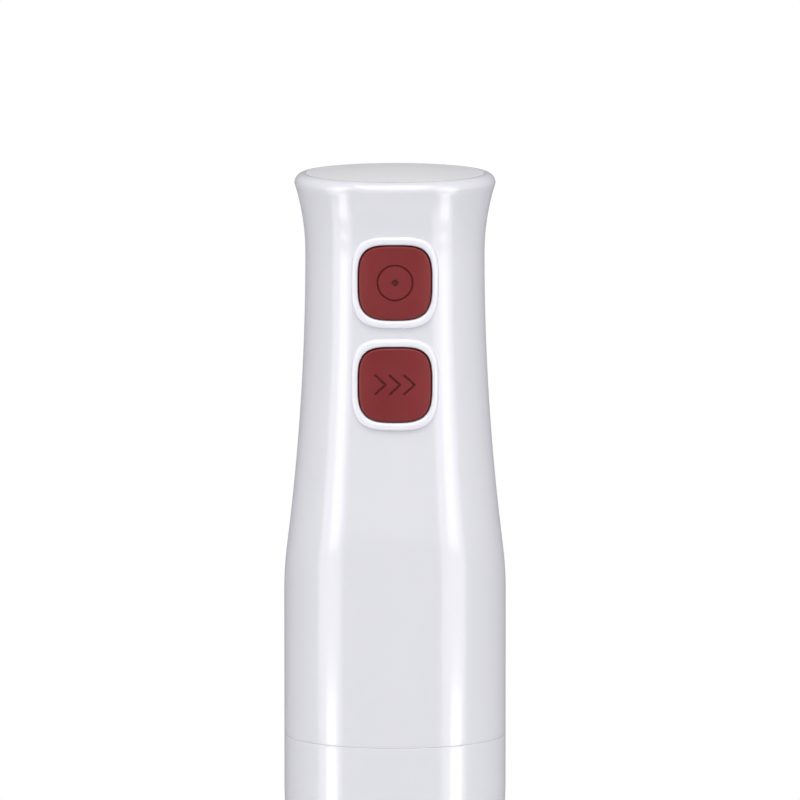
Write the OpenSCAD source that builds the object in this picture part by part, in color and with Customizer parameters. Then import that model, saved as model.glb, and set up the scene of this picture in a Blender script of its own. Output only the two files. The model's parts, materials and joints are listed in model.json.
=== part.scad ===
// Immersion blender: a two-button motor unit with a detachable mixing foot.
// It stands on the rim of its bell. +Z is up, the buttons face -Y, and the
// origin is at the centre of the rim plane.

/* [Handle] */
// Height of the motor unit, from the foot joint to the top rim
handle_h = 208; // [200:1:240]
// Radius of the straight motor section
body_r = 31; // [29:0.5:36]
// Wall of the handle casings
wall = 2.2; // [1.8:0.1:2.8]
// Radius of the flared top rim
rim_r = 29; // [26.5:0.5:30]
// Edge rounding of the top rim
rim_round = 2.8; // [1:0.1:3]
// Radius of the neck under the rim
neck_r = 25; // [24:0.25:27]
// Depth of the neck below the top rim
neck_drop = 22.5; // [16:0.5:26]
// Radius of the long arc that widens the grip down to the motor section
grip_sweep_r = 650; // [520:10:760]
// How far the grip's axis sits in front of the motor's axis
grip_shift = 1.5; // [0:0.1:2]
// Place of the side seam behind the motor's axis
seam_y = 3; // [0:0.5:6]

/* [Top cap] */
// Radius of the cap set into the rim
cap_r = 24.8; // [22:0.1:26]
// Thickness of the cap at its edge
cap_t = 2.6; // [2:0.1:4]
// Crown of the cap
cap_crown = 1.4; // [0:0.1:2]

/* [Buttons] */
// Width of a button
button_w = 20.1; // [16:0.1:22]
// Height of a button
button_h = 20.5; // [16:0.1:23]
// Corner radius of a button
button_corner = 6; // [3:0.1:8]
// Drop of the upper button's centre below the top rim
upper_button_drop = 28.1; // [24:0.1:30]
// Distance between the two buttons' centres
button_pitch = 28.4; // [28:0.1:34]
// Width of the bezel ring's face
bezel_w = 1.95; // [1.2:0.1:2.4]
// Height of the bezel above the casing
bezel_proud = 1.2; // [0.6:0.1:2]
// Height of a button's face above the casing
button_proud = 1.1; // [0.5:0.1:2]
// Gap all round a button
button_gap = 0.25; // [0.2:0.05:0.5]
// Travel of a button
button_travel = 1.5; // [0.8:0.1:2]

/* [Foot] */
// Height of the foot, from the bell's rim to the joint
foot_h = 186; // [165:1:210]
// Radius of the bell at its rim
bell_r = 33; // [29:0.5:38]
// Height of the bell's dome
bell_h = 42; // [36:1:50]
// Sheet thickness of the bell
bell_t = 1.2; // [1:0.1:1.6]
// Radius of the steel tube
tube_r = 13.5; // [11:0.25:14]
// Wall of the steel tube
tube_t = 0.8; // [0.6:0.1:1.2]
// Radius of the blade shaft
shaft_r = 3; // [2.5:0.1:3.5]
// Length of the blade across its tips
blade_span = 44; // [36:1:50]

/* [Joint] */
// Radius of the motor unit's lower face
nose_r = 23; // [21:0.5:26]
// Height of the nose housing
nose_h = 50; // [46:1:60]
// Radius of the foot's spigot
spigot_r = 14.5; // [13.5:0.1:15]
// Depth of the latch groove in the spigot
groove_d = 2.1; // [1.6:0.1:2.4]
// Travel of a release button
release_travel = 2.4; // [2.2:0.1:2.8]

/* [Motor] */
// Radius of the motor's stator
stator_r = 27; // [25:0.5:28]

/* [Cord inlet] */
// Radius of the cord hole
cord_r = 3.6; // [3:0.1:4.5]
// Drop of the cord hole below the top rim
cord_drop = 22; // [18:0.5:32]

/* [Hidden] */
$fn = 96;

// Overshoot of a cutting tool past the faces it cuts
over = 1;
// Clearances: a sliding guide, a running bearing, a loose fit and a visible parting gap
slide_fit = 0.1;
run_fit = 0.04;
loose_fit = 0.25;
part_gap = 0.3;

// Handle heights
top_z = foot_h + handle_h;
nose_top_z = foot_h + nose_h;
flare_rise = rim_r - neck_r;
flare_r = (flare_rise * flare_rise + neck_drop * neck_drop) / (2 * flare_rise);
cap_seat_z = top_z - cap_t;
ledge_t = 1.5;
ledge_w = 1.4;
neck_z = top_z - neck_drop;

// Joint and latch heights
nose_floor_t = 3;
latch_t = 2;
latch_gap = 0.3;
flange_t = 2.6;
spigot_h = 25;
spigot_top_z = foot_h + spigot_h;
flange_z = spigot_top_z - flange_t;
upper_latch_z = flange_z - latch_gap - latch_t;
lower_latch_z = upper_latch_z - latch_gap - latch_t;
groove_z = lower_latch_z - latch_gap;
socket_r = spigot_r + loose_fit;
groove_r = spigot_r - groove_d;
latch_hook = spigot_r - groove_d + 0.6;
latch_hole_r = spigot_r + 0.8;
latch_offset = latch_hole_r - latch_hook;
latch_ring_w = 4.1;
latch_ring_r = latch_hole_r + latch_ring_w;
block_r = latch_ring_r + release_travel;
block_top_z = spigot_top_z + 4;
release_z = (upper_latch_z + lower_latch_z + latch_t) / 2;
release_r = 6;
release_flange_r = 7.5;
release_flange_t = 1.4;
release_proud = 1.2;
release_back_x = latch_ring_r + 1.6;
release_seat_x = release_back_x - release_travel - 0.8;
latch_far_x = release_seat_x - release_travel - loose_fit;
small_spring_r = 1.8;
small_wire_r = 0.25;
release_spring_depth = 5;
release_spring_dz = 3.2;

// Button places
upper_button_z = top_z - upper_button_drop;
lower_button_z = upper_button_z - button_pitch;
button_depth = 5.5;
button_flange_t = 1.4;
button_flange_w = 1.35;
sleeve_t = 1;
plunger_r = 2.5;
carrier_y = -14.5;
carrier_t = 2;
board_y = -2;
board_t = 1.6;
board_half_w = 17;
board_margin = 17;
board_low_z = lower_button_z - board_margin;
board_high_z = upper_button_z + board_margin - 2;
board_screw_x = 14;
board_screw_inset = 3;
board_screw_r = 1;
board_post_r = 2.2;
plunger_end_y = -10;
switch_nub_y = plunger_end_y + button_travel + 0.2;
switch_size = [12, 5.6, 6.5];
switch_nub_r = 1.4;
capacitor_size = [18, 8, 13];
rectifier_size = [15, 4, 9];
button_spring_r = 4;
button_wire_r = 0.3;

// Motor stack
motor_floor_t = 3;
motor_low_z = block_top_z;
stator_z = motor_low_z + 25;
stator_h = 28;
stator_half_w = 21.5;
yoke_t = 4.5;
rotor_r = 14;
air_gap = 0.4;
rotor_slots = 12;
leg_half_w = 6;
upper_frame_z = stator_z + stator_h + 18;
motor_shaft_r = 2.5;
bearing_r = 8;
bearing_t = 5;
hub_wall = 2;
lower_bearing_z = motor_low_z + motor_floor_t;
upper_bearing_z = upper_frame_z + motor_floor_t;
motor_screw_y = stator_half_w - yoke_t / 2;
motor_screw_r = 1.5;
upper_frame_r = motor_screw_y + 5.05;
commutator_r = 8;
commutator_z = stator_z + stator_h + 8;
commutator_h = 9.7;
brush_z = commutator_z + commutator_h / 2;
brush_size = [9, 5, 6];
brush_wall = 1.2;
brush_gap = 0.15;
holder_x0 = commutator_r + 2;
holder_x1 = holder_x0 + 13;
fan_r = 16.2;
fan_z = lower_bearing_z + bearing_t + 3;
fan_h = 9;
fan_blades = 9;
coupler_r = 6;
coupler_tip_z = foot_h + 16.3;
coupler_top_z = motor_low_z - 0.5;
coupler_grip = 7;

// Foot heights
cup_r = 8.5;
cup_floor_z = coupler_tip_z - 0.8;
cup_low_z = cup_floor_z - 3.5;
cup_top_z = spigot_top_z - 1;
cup_bore_r = cup_r + 1.5;
collar_h = 36;
collar_low_z = foot_h - collar_h;
collar_low_r = tube_r + 1.7;
tube_top_z = collar_low_z + 20;
tube_low_z = bell_h - 3;
bushing_r = 5.5;
upper_bushing_z = foot_h - 3;
bushing_h = 12;
lower_bushing_z = tube_low_z + 4;
seal_t = 3;
blade_z = 10;
blade_t = 1.2;
hub_r = 4.6;
nut_r = 5.2;
nut_t = 4;
shaft_tip = 2;

// Housing screws: place in X, drop below the top rim, radius
screw_r = 1.4;
screw_head_r = 2.6;
screw_head_t = 3;
boss_r = 3.2;
side_screw_x = 19.5;
side_screw_drop = 82;
top_screw_drop = 7.2;
screw_places = [[-side_screw_x, top_z - side_screw_drop], [side_screw_x, top_z - side_screw_drop],
    [0, top_z - top_screw_drop]];
screw_head_y = [17, 17, 21];

// Radius of the grip's outline at a height, before the motor section limits it
function grip_r(z) = z > neck_z
    ? neck_r + flare_r - sqrt(flare_r * flare_r - (z - neck_z) * (z - neck_z))
    : neck_r + grip_sweep_r - sqrt(grip_sweep_r * grip_sweep_r - (neck_z - z) * (neck_z - z));

// Radius of the nose housing's outline at a height
nose_straight_h = 14;
nose_arc_h = nose_h - nose_straight_h;
nose_arc_r = (nose_arc_h * nose_arc_h + (body_r - nose_r) * (body_r - nose_r)) / (2 * (body_r - nose_r));
function nose_out_r(z) = z > foot_h + nose_arc_h
    ? body_r
    : body_r - nose_arc_r + sqrt(nose_arc_r * nose_arc_r - pow(foot_h + nose_arc_h - z, 2));

function steps(low, high, count) = [for (i = [0:count]) low + (high - low) * i / count];

// The grip as a solid of revolution, grown outwards by grow
module grip_solid(grow) {
    flare_top_z = top_z - rim_round;
    edge_r = grip_r(flare_top_z) - rim_round;
    lower = [for (z = steps(nose_top_z - over, neck_z, 10)) [grip_r(z) + grow, z]];
    flare = [for (z = steps(neck_z, flare_top_z, 8)) if (z > neck_z) [grip_r(z) + grow, z]];
    edge = [for (a = [22.5:22.5:90])
        [edge_r + (rim_round + grow) * cos(a), flare_top_z + (rim_round + grow) * sin(a)]];
    translate([0, -grip_shift, 0])
        rotate_extrude()
            polygon(concat([[0, nose_top_z - over]], lower, flare, edge, [[0, top_z + grow]]));
}

// The handle's outer form: the grip inside the motor section's cylinder
module handle_solid(grow) {
    intersection() {
        grip_solid(grow);
        translate([0, 0, nose_top_z]) cylinder(r = body_r + grow, h = handle_h);
    }
}

// A solid round bar along Y
module y_bar(x, z, r, y0, y1) {
    translate([x, y0, z]) rotate([-90, 0, 0]) cylinder(r = r, h = y1 - y0);
}

// A solid round bar along X
module x_bar(z, r, x0, x1) {
    translate([x0, 0, z]) rotate([0, 90, 0]) cylinder(r = r, h = x1 - x0);
}

// A pipe along Z
module pipe(r_out, r_in, z0, z1) {
    translate([0, 0, z0])
        difference() {
            cylinder(r = r_out, h = z1 - z0);
            translate([0, 0, -over]) cylinder(r = r_in, h = z1 - z0 + 2 * over);
        }
}

// A rounded rectangle pushed along Y, centred at height z
module rounded_prism(w, h, corner, z, y0, y1) {
    translate([0, y1, z])
        rotate([90, 0, 0])
            linear_extrude(y1 - y0) {
                square([w - 2 * corner, h], center = true);
                square([w, h - 2 * corner], center = true);
                for (x = [-1, 1], y = [-1, 1])
                    translate([x * (w / 2 - corner), y * (h / 2 - corner)]) circle(r = corner, $fn = 48);
            }
}

// A closed tube skinned over rings of points, each with the same number of sides
module skinned_rings(points, sides) {
    last_ring = len(points) / sides - 1;
    walls = [for (i = [0:last_ring - 1], j = [0:sides - 1])
        let (k = (j + 1) % sides)
        [i * sides + j, (i + 1) * sides + j, (i + 1) * sides + k, i * sides + k]];
    first = [for (j = [0:sides - 1]) j];
    last = [for (j = [0:sides - 1]) last_ring * sides + sides - 1 - j];
    polyhedron(points, concat(walls, [first], [last]));
}

// One helical spring along +Z
module coil_spring(coil_r, wire_r, length, turns) {
    sides = 6;
    per_turn = 14;
    count = turns * per_turn;
    rise = (length - 2 * wire_r) / count;
    skinned_rings([for (i = [0:count], j = [0:sides - 1])
        let (a = 360 * i / per_turn, b = 360 * j / sides, r = coil_r - wire_r + wire_r * cos(b))
        [r * cos(a), r * sin(a), wire_r + rise * i + wire_r * sin(b)]], sides);
}

function unit(v) = v / norm(v);

// An insulated wire that follows a path with no stretch along Y
module wire_path(path, r) {
    sides = 8;
    last = len(path) - 1;
    skinned_rings([for (i = [0:last], j = [0:sides - 1])
        let (before = path[max(i, 1)] - path[max(i, 1) - 1],
            after = path[min(i + 1, last)] - path[min(i + 1, last) - 1],
            along = unit(unit(before) + unit(after)),
            side = unit(cross(along, [0, 1, 0])),
            up = cross(side, along))
        path[i] + r * (cos(360 * j / sides) * side + sin(360 * j / sides) * up)], sides);
}

// ---- Casings ----

module handle_walls() {
    difference() {
        handle_solid(0);
        difference() {
            handle_solid(-wall);
            translate([0, -grip_shift, 0])
                pipe(body_r + 2 * over, cap_r - ledge_w, cap_seat_z - ledge_t, top_z + over);
        }
        translate([0, -grip_shift, cap_seat_z]) cylinder(r = cap_r + slide_fit, h = cap_t + over);
        translate([0, -grip_shift, cap_seat_z - ledge_t - over])
            cylinder(r = cap_r - ledge_w, h = cap_t + ledge_t + over);
        for (z = [upper_button_z, lower_button_z])
            rounded_prism(button_w + 2 * (button_gap + sleeve_t + slide_fit),
                button_h + 2 * (button_gap + sleeve_t + slide_fit),
                button_corner + button_gap + sleeve_t, z, -body_r - over, -button_w / 2);
    }
}

module screw_bosses(y0, y1) {
    intersection() {
        handle_solid(-wall / 2);
        for (p = screw_places) y_bar(p[0], p[1], boss_r, y0, y1);
    }
}

module screw_shapes(r, head_r, from_y) {
    for (i = [0:2]) {
        y_bar(screw_places[i][0], screw_places[i][1], r, from_y, screw_head_y[i] - screw_head_t);
        y_bar(screw_places[i][0], screw_places[i][1], head_r, screw_head_y[i] - screw_head_t - slide_fit,
            screw_head_y[i]);
    }
}

screw_tip_y = seam_y - 9;

module front_shell() {
    color("white")
        difference() {
            intersection() {
                union() {
                    handle_walls();
                    screw_bosses(-body_r, seam_y);
                }
                translate([-body_r - over, -body_r - over, 0])
                    cube([2 * (body_r + over), body_r + over + seam_y, top_z + over]);
            }
            screw_shapes(screw_r, screw_head_r, screw_tip_y);
        }
}

vent_w = 1.8;
vent_pitch = 4;
vent_count = 5;
vent_half_len = 8;
vent_drop = 96;
grommet_wall = 1.6;
grommet_flange_w = 3.6;

module rear_shell() {
    color("white")
        difference() {
            intersection() {
                union() {
                    handle_walls();
                    screw_bosses(seam_y, body_r);
                }
                translate([-body_r - over, seam_y, 0])
                    cube([2 * (body_r + over), body_r + over, top_z + over]);
            }
            screw_shapes(screw_r, screw_head_r, seam_y - over);
            for (i = [0:2])
                y_bar(screw_places[i][0], screw_places[i][1], screw_head_r + slide_fit,
                    screw_head_y[i] - screw_head_t, body_r + over);
            y_bar(0, top_z - cord_drop, cord_r + grommet_wall, neck_r / 2, body_r);
            for (i = [0:vent_count - 1])
                translate([-vent_half_len, body_r / 2, top_z - vent_drop + i * vent_pitch])
                    cube([2 * vent_half_len, body_r, vent_w]);
        }
}

module top_cap() {
    crown_r = (cap_r * cap_r + cap_crown * cap_crown) / (2 * cap_crown);
    crown = [for (i = [0:6])
        let (x = cap_r * (1 - i / 6))
        [x, top_z + cap_crown - crown_r + sqrt(crown_r * crown_r - x * x)]];
    color([0.87, 0.87, 0.86])
        translate([0, -grip_shift, 0])
            rotate_extrude()
                polygon(concat([[0, cap_seat_z], [cap_r, cap_seat_z]], crown));
}

module nose_outline(grow) {
    arc = [for (z = steps(foot_h, foot_h + nose_arc_h, 10)) [nose_out_r(z) + grow, z]];
    polygon(concat([[0, foot_h]], arc, [[body_r + grow, nose_top_z], [0, nose_top_z]]));
}

tongue_t = 1.4;
tongue_h = 4;
outlet_count = 7;
outlet_step = 12;
outlet_drop = 13;
outlet_h = 9;

module nose_housing() {
    color("white")
        difference() {
            union() {
                rotate_extrude() nose_outline(0);
                pipe(body_r - wall - slide_fit, body_r - wall - tongue_t, nose_top_z - over,
                    nose_top_z + tongue_h);
            }
            difference() {
                rotate_extrude() nose_outline(-wall);
                cylinder(r = body_r, h = foot_h + nose_floor_t);
                pipe(body_r, body_r - wall - tongue_t, nose_top_z - tongue_h, nose_top_z + over);
            }
            translate([0, 0, foot_h - over]) cylinder(r = socket_r, h = nose_floor_t + 2 * over);
            x_bar(release_z, release_r + part_gap, -body_r - over, body_r + over);
            for (i = [0:outlet_count - 1])
                rotate([0, 0, 90 + (i - (outlet_count - 1) / 2) * outlet_step])
                    translate([body_r / 2, -vent_w / 2, nose_top_z - outlet_drop])
                        cube([body_r, vent_w, outlet_h]);
        }
}

// ---- Buttons and their board ----

module bezel(z) {
    outer_w = button_w + 2 * (button_gap + bezel_w);
    outer_h = button_h + 2 * (button_gap + bezel_w);
    sleeve_w = button_w + 2 * (button_gap + sleeve_t);
    sleeve_h = button_h + 2 * (button_gap + sleeve_t);
    back_y = button_back_y(z) - button_flange_t - 0.4;
    difference() {
        union() {
            difference() {
                intersection() {
                    rounded_prism(outer_w, outer_h, button_corner + button_gap + bezel_w,
                        z, -body_r - 5, back_y);
                    grip_solid(bezel_proud);
                }
                grip_solid(0);
            }
            intersection() {
                rounded_prism(sleeve_w, sleeve_h, button_corner + button_gap + sleeve_t,
                    z, -body_r - 5, back_y);
                grip_solid(bezel_proud / 2);
            }
        }
        rounded_prism(button_w + 2 * button_gap, button_h + 2 * button_gap, button_corner + button_gap,
            z, -body_r - 6, back_y + over);
    }
}

function button_back_y(z) = -grip_r(z) - grip_shift + button_depth;

module button_cap(z) {
    back_y = button_back_y(z);
    intersection() {
        rounded_prism(button_w, button_h, button_corner, z, -body_r - 5, back_y);
        grip_solid(button_proud);
    }
    rounded_prism(button_w + 2 * button_flange_w, button_h + 2 * button_flange_w,
        button_corner + button_flange_w, z, back_y - button_flange_t, back_y);
}

module plunger(z) {
    y_bar(0, z, plunger_r, button_back_y(z), plunger_end_y);
}

module button_spring(z) {
    length = carrier_y - button_back_y(z);
    translate([0, carrier_y, z])
        rotate([90, 0, 0])
            coil_spring(button_spring_r, button_wire_r, length, 3);
}

module switch_body(z) {
    translate([-switch_size[0] / 2, board_y - switch_size[1], z - switch_size[2] / 2])
        cube(switch_size);
    y_bar(0, z, switch_nub_r, switch_nub_y, board_y - switch_size[1]);
}

module speed_bezel() { color("white") bezel(upper_button_z); }
module turbo_bezel() { color("white") bezel(lower_button_z); }
module speed_button_cap() { color([0.5, 0.18, 0.19]) button_cap(upper_button_z); }
module turbo_button_cap() { color([0.5, 0.18, 0.19]) button_cap(lower_button_z); }
module speed_plunger() { color("ivory") plunger(upper_button_z); }
module turbo_plunger() { color("ivory") plunger(lower_button_z); }
module speed_spring() { color("silver") button_spring(upper_button_z); }
module turbo_spring() { color("silver") button_spring(lower_button_z); }
module speed_switch() { color([0.15, 0.15, 0.17]) switch_body(upper_button_z); }
module turbo_switch() { color([0.15, 0.15, 0.17]) switch_body(lower_button_z); }

module at_board_screws() {
    for (x = [-board_screw_x, board_screw_x],
        z = [board_low_z + board_screw_inset, board_high_z - board_screw_inset])
        translate([x, 0, z]) children();
}

module button_carrier() {
    color("ivory")
        difference() {
            union() {
                intersection() {
                    translate([-body_r, carrier_y, board_low_z])
                        cube([2 * body_r, carrier_t, board_high_z - board_low_z]);
                    grip_solid(-wall);
                }
                at_board_screws() y_bar(0, 0, board_post_r, carrier_y + carrier_t / 2, board_y);
            }
            for (z = [upper_button_z, lower_button_z])
                y_bar(0, z, plunger_r + slide_fit, carrier_y - over, carrier_y + carrier_t + over);
            at_board_screws() y_bar(0, 0, board_screw_r, carrier_y + carrier_t, board_y + over);
        }
}

module control_board() {
    color([0.1, 0.35, 0.18])
        difference() {
            translate([-board_half_w, board_y, board_low_z])
                cube([2 * board_half_w, board_t, board_high_z - board_low_z]);
            at_board_screws() y_bar(0, 0, board_screw_r + slide_fit, board_y - over, board_y + board_t + over);
        }
}

module board_screws() {
    color("silver")
        at_board_screws() {
            y_bar(0, 0, board_screw_r, board_y - 6, board_y + board_t);
            y_bar(0, 0, 2 * board_screw_r, board_y + board_t, board_y + board_t + 1.2);
        }
}

module suppression_capacitor() {
    color([0.75, 0.6, 0.15])
        translate([-capacitor_size[0] / 2, board_y + board_t, lower_button_z - 6]) cube(capacitor_size);
}

module bridge_rectifier() {
    color([0.12, 0.12, 0.12])
        translate([-rectifier_size[0] / 2, board_y + board_t, lower_button_z + 12]) cube(rectifier_size);
}

module housing_screws() {
    color("silver") screw_shapes(screw_r, screw_head_r, screw_tip_y);
}

module cord_grommet() {
    z = top_z - cord_drop;
    back_y = neck_r - grip_shift;
    inner_y = back_y - 5.5;
    outer_y = back_y + 2.5;
    color([0.85, 0.85, 0.85])
        difference() {
            union() {
                difference() {
                    y_bar(0, z, cord_r + grommet_flange_w, back_y - 5, outer_y);
                    grip_solid(0);
                }
                y_bar(0, z, cord_r + grommet_wall - slide_fit, inner_y, outer_y);
            }
            y_bar(0, z, cord_r, inner_y - over, outer_y + over);
        }
}

// ---- Latch ----

module latch_block() {
    color([0.25, 0.25, 0.27])
        difference() {
            intersection() {
                pipe(block_r, socket_r, foot_h + nose_floor_t, block_top_z);
                rotate_extrude() nose_outline(-wall - slide_fit);
            }
            translate([-body_r, -latch_ring_r - part_gap, groove_z])
                cube([2 * body_r, 2 * (latch_ring_r + part_gap),
                    upper_latch_z + latch_t - groove_z + latch_gap]);
            for (side = [-1, 1])
                translate([side * (release_seat_x + body_r / 2), 0, release_z])
                    cube([body_r, 2 * (release_flange_r + 1), 2 * (release_flange_r + 0.6)], center = true);
        }
}

// A latch plate for a button on the -X side
module latch_plate(z) {
    tab_half_w = 5;
    translate([0, 0, z])
        difference() {
            union() {
                intersection() {
                    translate([-latch_offset, 0, 0]) cylinder(r = latch_ring_r, h = latch_t);
                    translate([-release_back_x, -body_r, 0])
                        cube([release_back_x + latch_far_x, 2 * body_r, latch_t]);
                }
                translate([-release_back_x, -tab_half_w, 0])
                    cube([release_back_x - latch_ring_r + 3, 2 * tab_half_w, latch_t]);
            }
            translate([-latch_offset, 0, -over]) cylinder(r = latch_hole_r, h = latch_t + 2 * over);
        }
}

// A release cap on the -X side; its spring pocket is spring_dz above its centre
module release_cap(spring_dz) {
    flange_x = release_back_x + 0.6;
    difference() {
        union() {
            intersection() {
                x_bar(release_z, release_r, -body_r - 5, -release_back_x);
                rotate_extrude() nose_outline(release_proud);
            }
            intersection() {
                x_bar(release_z, release_flange_r, -flange_x - release_flange_t, -flange_x);
                rotate_extrude() nose_outline(-wall - slide_fit);
            }
        }
        x_bar(release_z + spring_dz, small_spring_r + part_gap, -release_back_x - release_spring_depth,
            -release_back_x + over);
    }
}

module release_spring(spring_dz) {
    length = release_back_x + release_spring_depth - release_seat_x;
    translate([-release_seat_x, 0, release_z + spring_dz])
        rotate([0, -90, 0])
            coil_spring(small_spring_r, small_wire_r, length, 6);
}

module left_release_cap() { color([0.5, 0.18, 0.19]) release_cap(-release_spring_dz); }
module right_release_cap() { color([0.5, 0.18, 0.19]) mirror([1, 0, 0]) release_cap(release_spring_dz); }
module left_latch_plate() { color("silver") latch_plate(upper_latch_z); }
module right_latch_plate() { color("silver") mirror([1, 0, 0]) latch_plate(lower_latch_z); }
module left_latch_spring() { color("silver") release_spring(-release_spring_dz); }
module right_latch_spring() { color("silver") mirror([1, 0, 0]) release_spring(release_spring_dz); }

// ---- Motor ----

pole_shoe_t = 2;
pole_half_w = 5;

module pole_shoe() {
    intersection() {
        pipe(rotor_r + air_gap + pole_shoe_t, rotor_r + air_gap, stator_z, stator_z + stator_h);
        rotate([0, 0, 45]) translate([0, 0, stator_z]) cube([body_r, body_r, stator_h]);
    }
}

module stator_core() {
    void_x = 21.5;
    color([0.55, 0.55, 0.57])
        union() {
            difference() {
                intersection() {
                    translate([0, 0, stator_z]) cylinder(r = stator_r, h = stator_h);
                    translate([-body_r, -stator_half_w, stator_z])
                        cube([2 * body_r, 2 * stator_half_w, stator_h]);
                }
                intersection() {
                    translate([-void_x, -stator_half_w + yoke_t, stator_z - over])
                        cube([2 * void_x, 2 * (stator_half_w - yoke_t), stator_h + 2 * over]);
                    translate([0, 0, stator_z - over]) cylinder(r = stator_r - 3, h = stator_h + 2 * over);
                }
                for (y = [-motor_screw_y, motor_screw_y])
                    translate([0, y, stator_z - over])
                        cylinder(r = motor_screw_r + slide_fit, h = stator_h + 2 * over);
            }
            for (side = [0, 180])
                rotate([0, 0, side]) {
                    rotate([0, 0, -90]) pole_shoe();
                    translate([rotor_r + air_gap + 1, -pole_half_w, stator_z])
                        cube([void_x - rotor_r - air_gap, 2 * pole_half_w, stator_h]);
                }
        }
}

module field_coils() {
    turn = 3;
    coil_t = 4.4;
    half_w = pole_half_w + 0.2;
    half_h = stator_h / 2 + 0.2;
    color([0.72, 0.38, 0.18])
        for (side = [0, 180])
            rotate([0, 0, side])
                translate([rotor_r + air_gap + pole_shoe_t + 0.3, 0, stator_z + stator_h / 2])
                    difference() {
                        translate([0, -half_w - turn, -half_h - turn])
                            cube([coil_t, 2 * (half_w + turn), 2 * (half_h + turn)]);
                        translate([-over, -half_w, -half_h])
                            cube([coil_t + 2 * over, 2 * half_w, 2 * half_h]);
                    }
}

air_hole_r = 3.4;
air_hole_x = 15.5;

// A round motor end frame with a bearing hub, and two legs that reach the stator
module end_frame(disc_r, disc_z, leg_low, leg_high, screw_hole_r) {
    difference() {
        union() {
            pipe(disc_r, motor_shaft_r + 1.5, disc_z, disc_z + motor_floor_t);
            pipe(bearing_r + hub_wall, bearing_r, disc_z + motor_floor_t, disc_z + motor_floor_t + bearing_t);
            for (side = [-1, 1])
                translate([-leg_half_w, side * motor_screw_y - yoke_t / 2, leg_low])
                    cube([2 * leg_half_w, yoke_t, leg_high - leg_low]);
        }
        for (y = [-motor_screw_y, motor_screw_y])
            translate([0, y, min(disc_z, leg_low) - over])
                cylinder(r = screw_hole_r,
                    h = max(disc_z + motor_floor_t, leg_high) - min(disc_z, leg_low) + 2 * over);
        for (a = [45:90:315])
            rotate([0, 0, a])
                translate([air_hole_x, 0, disc_z - over])
                    cylinder(r = air_hole_r, h = motor_floor_t + 2 * over);
    }
}

module lower_end_frame() {
    color([0.7, 0.7, 0.72])
        end_frame(stator_r, motor_low_z, motor_low_z + motor_floor_t, stator_z, motor_screw_r);
}

module upper_end_frame() {
    color([0.7, 0.7, 0.72])
        difference() {
            end_frame(upper_frame_r, upper_frame_z, stator_z + stator_h, upper_frame_z,
                motor_screw_r + slide_fit);
            for (side = [-1, 1])
                translate([side * lead_x, 0, upper_frame_z - over])
                    cylinder(r = lead_r + slide_fit, h = motor_floor_t + 2 * over);
        }
}

module motor_screws() {
    head_z = upper_frame_z + motor_floor_t;
    color("silver")
        for (y = [-motor_screw_y, motor_screw_y])
            translate([0, y, 0]) {
                translate([0, 0, motor_low_z + 1]) cylinder(r = motor_screw_r, h = head_z - motor_low_z - 1);
                translate([0, 0, head_z]) cylinder(r = 2 * motor_screw_r, h = 2);
            }
}

module ball_bearing(z) {
    race_t = 1.5;
    shield_drop = 0.5;
    difference() {
        pipe(bearing_r, motor_shaft_r, z, z + bearing_t);
        for (face = [z - over, z + bearing_t - shield_drop])
            pipe(bearing_r - race_t, motor_shaft_r + race_t, face, face + over + shield_drop);
    }
}

module upper_bearing() { color("silver") ball_bearing(upper_bearing_z); }
module lower_bearing() { color("silver") ball_bearing(lower_bearing_z); }

module brush_holders() {
    half_w = brush_size[1] / 2 + slide_fit;
    half_h = brush_size[2] / 2 + slide_fit;
    color([0.78, 0.62, 0.25])
        for (side = [0, 180])
            rotate([0, 0, side])
                difference() {
                    translate([holder_x0, -half_w - brush_wall, brush_z - half_h - brush_wall])
                        cube([holder_x1 - holder_x0, 2 * (half_w + brush_wall),
                            upper_frame_z - brush_z + half_h + brush_wall]);
                    translate([holder_x0 - over, -half_w, brush_z - half_h])
                        cube([holder_x1 - holder_x0 + over - brush_wall, 2 * half_w, 2 * half_h]);
                }
}

module carbon_brushes() {
    color([0.2, 0.2, 0.22])
        for (side = [0, 180])
            rotate([0, 0, side])
                translate([commutator_r + brush_gap, -brush_size[1] / 2, brush_z - brush_size[2] / 2])
                    cube(brush_size);
}

module brush_springs() {
    x0 = commutator_r + brush_gap + brush_size[0];
    color("silver")
        for (side = [0, 180])
            rotate([0, 0, side])
                translate([x0, 0, brush_z])
                    rotate([0, 90, 0])
                        coil_spring(small_spring_r, small_wire_r, holder_x1 - brush_wall - x0, 4);
}

module motor_mount_rings() {
    color([0.12, 0.12, 0.12])
        intersection() {
            for (z = [stator_z + 2, stator_z + stator_h - 6])
                pipe(body_r - wall, stator_r, z, z + 4);
            handle_solid(-wall);
        }
}

lead_r = 0.8;
lead_x = 17.5;

module motor_leads() {
    start_x = 11;
    start_z = board_low_z + 4;
    bend_z = start_z - 14;
    lead_y = board_y + board_t + lead_r;
    color([0.7, 0.1, 0.1])
        for (side = [-1, 1])
            wire_path([[side * start_x, lead_y, start_z], [side * start_x, lead_y, bend_z],
                [side * lead_x, 0, upper_frame_z + 8], [side * lead_x, 0, upper_frame_z]], lead_r);
}

module motor_shaft() {
    color("silver")
        translate([0, 0, coupler_top_z - coupler_grip])
            cylinder(r = motor_shaft_r, h = upper_bearing_z + bearing_t + 3 - coupler_top_z + coupler_grip);
}

rotor_slot_r = 1.6;
rotor_slot_pitch_r = 11;

module at_rotor_slots() {
    for (i = [0:rotor_slots - 1])
        rotate([0, 0, 360 * i / rotor_slots]) translate([rotor_slot_pitch_r, 0, 0]) children();
}

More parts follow.
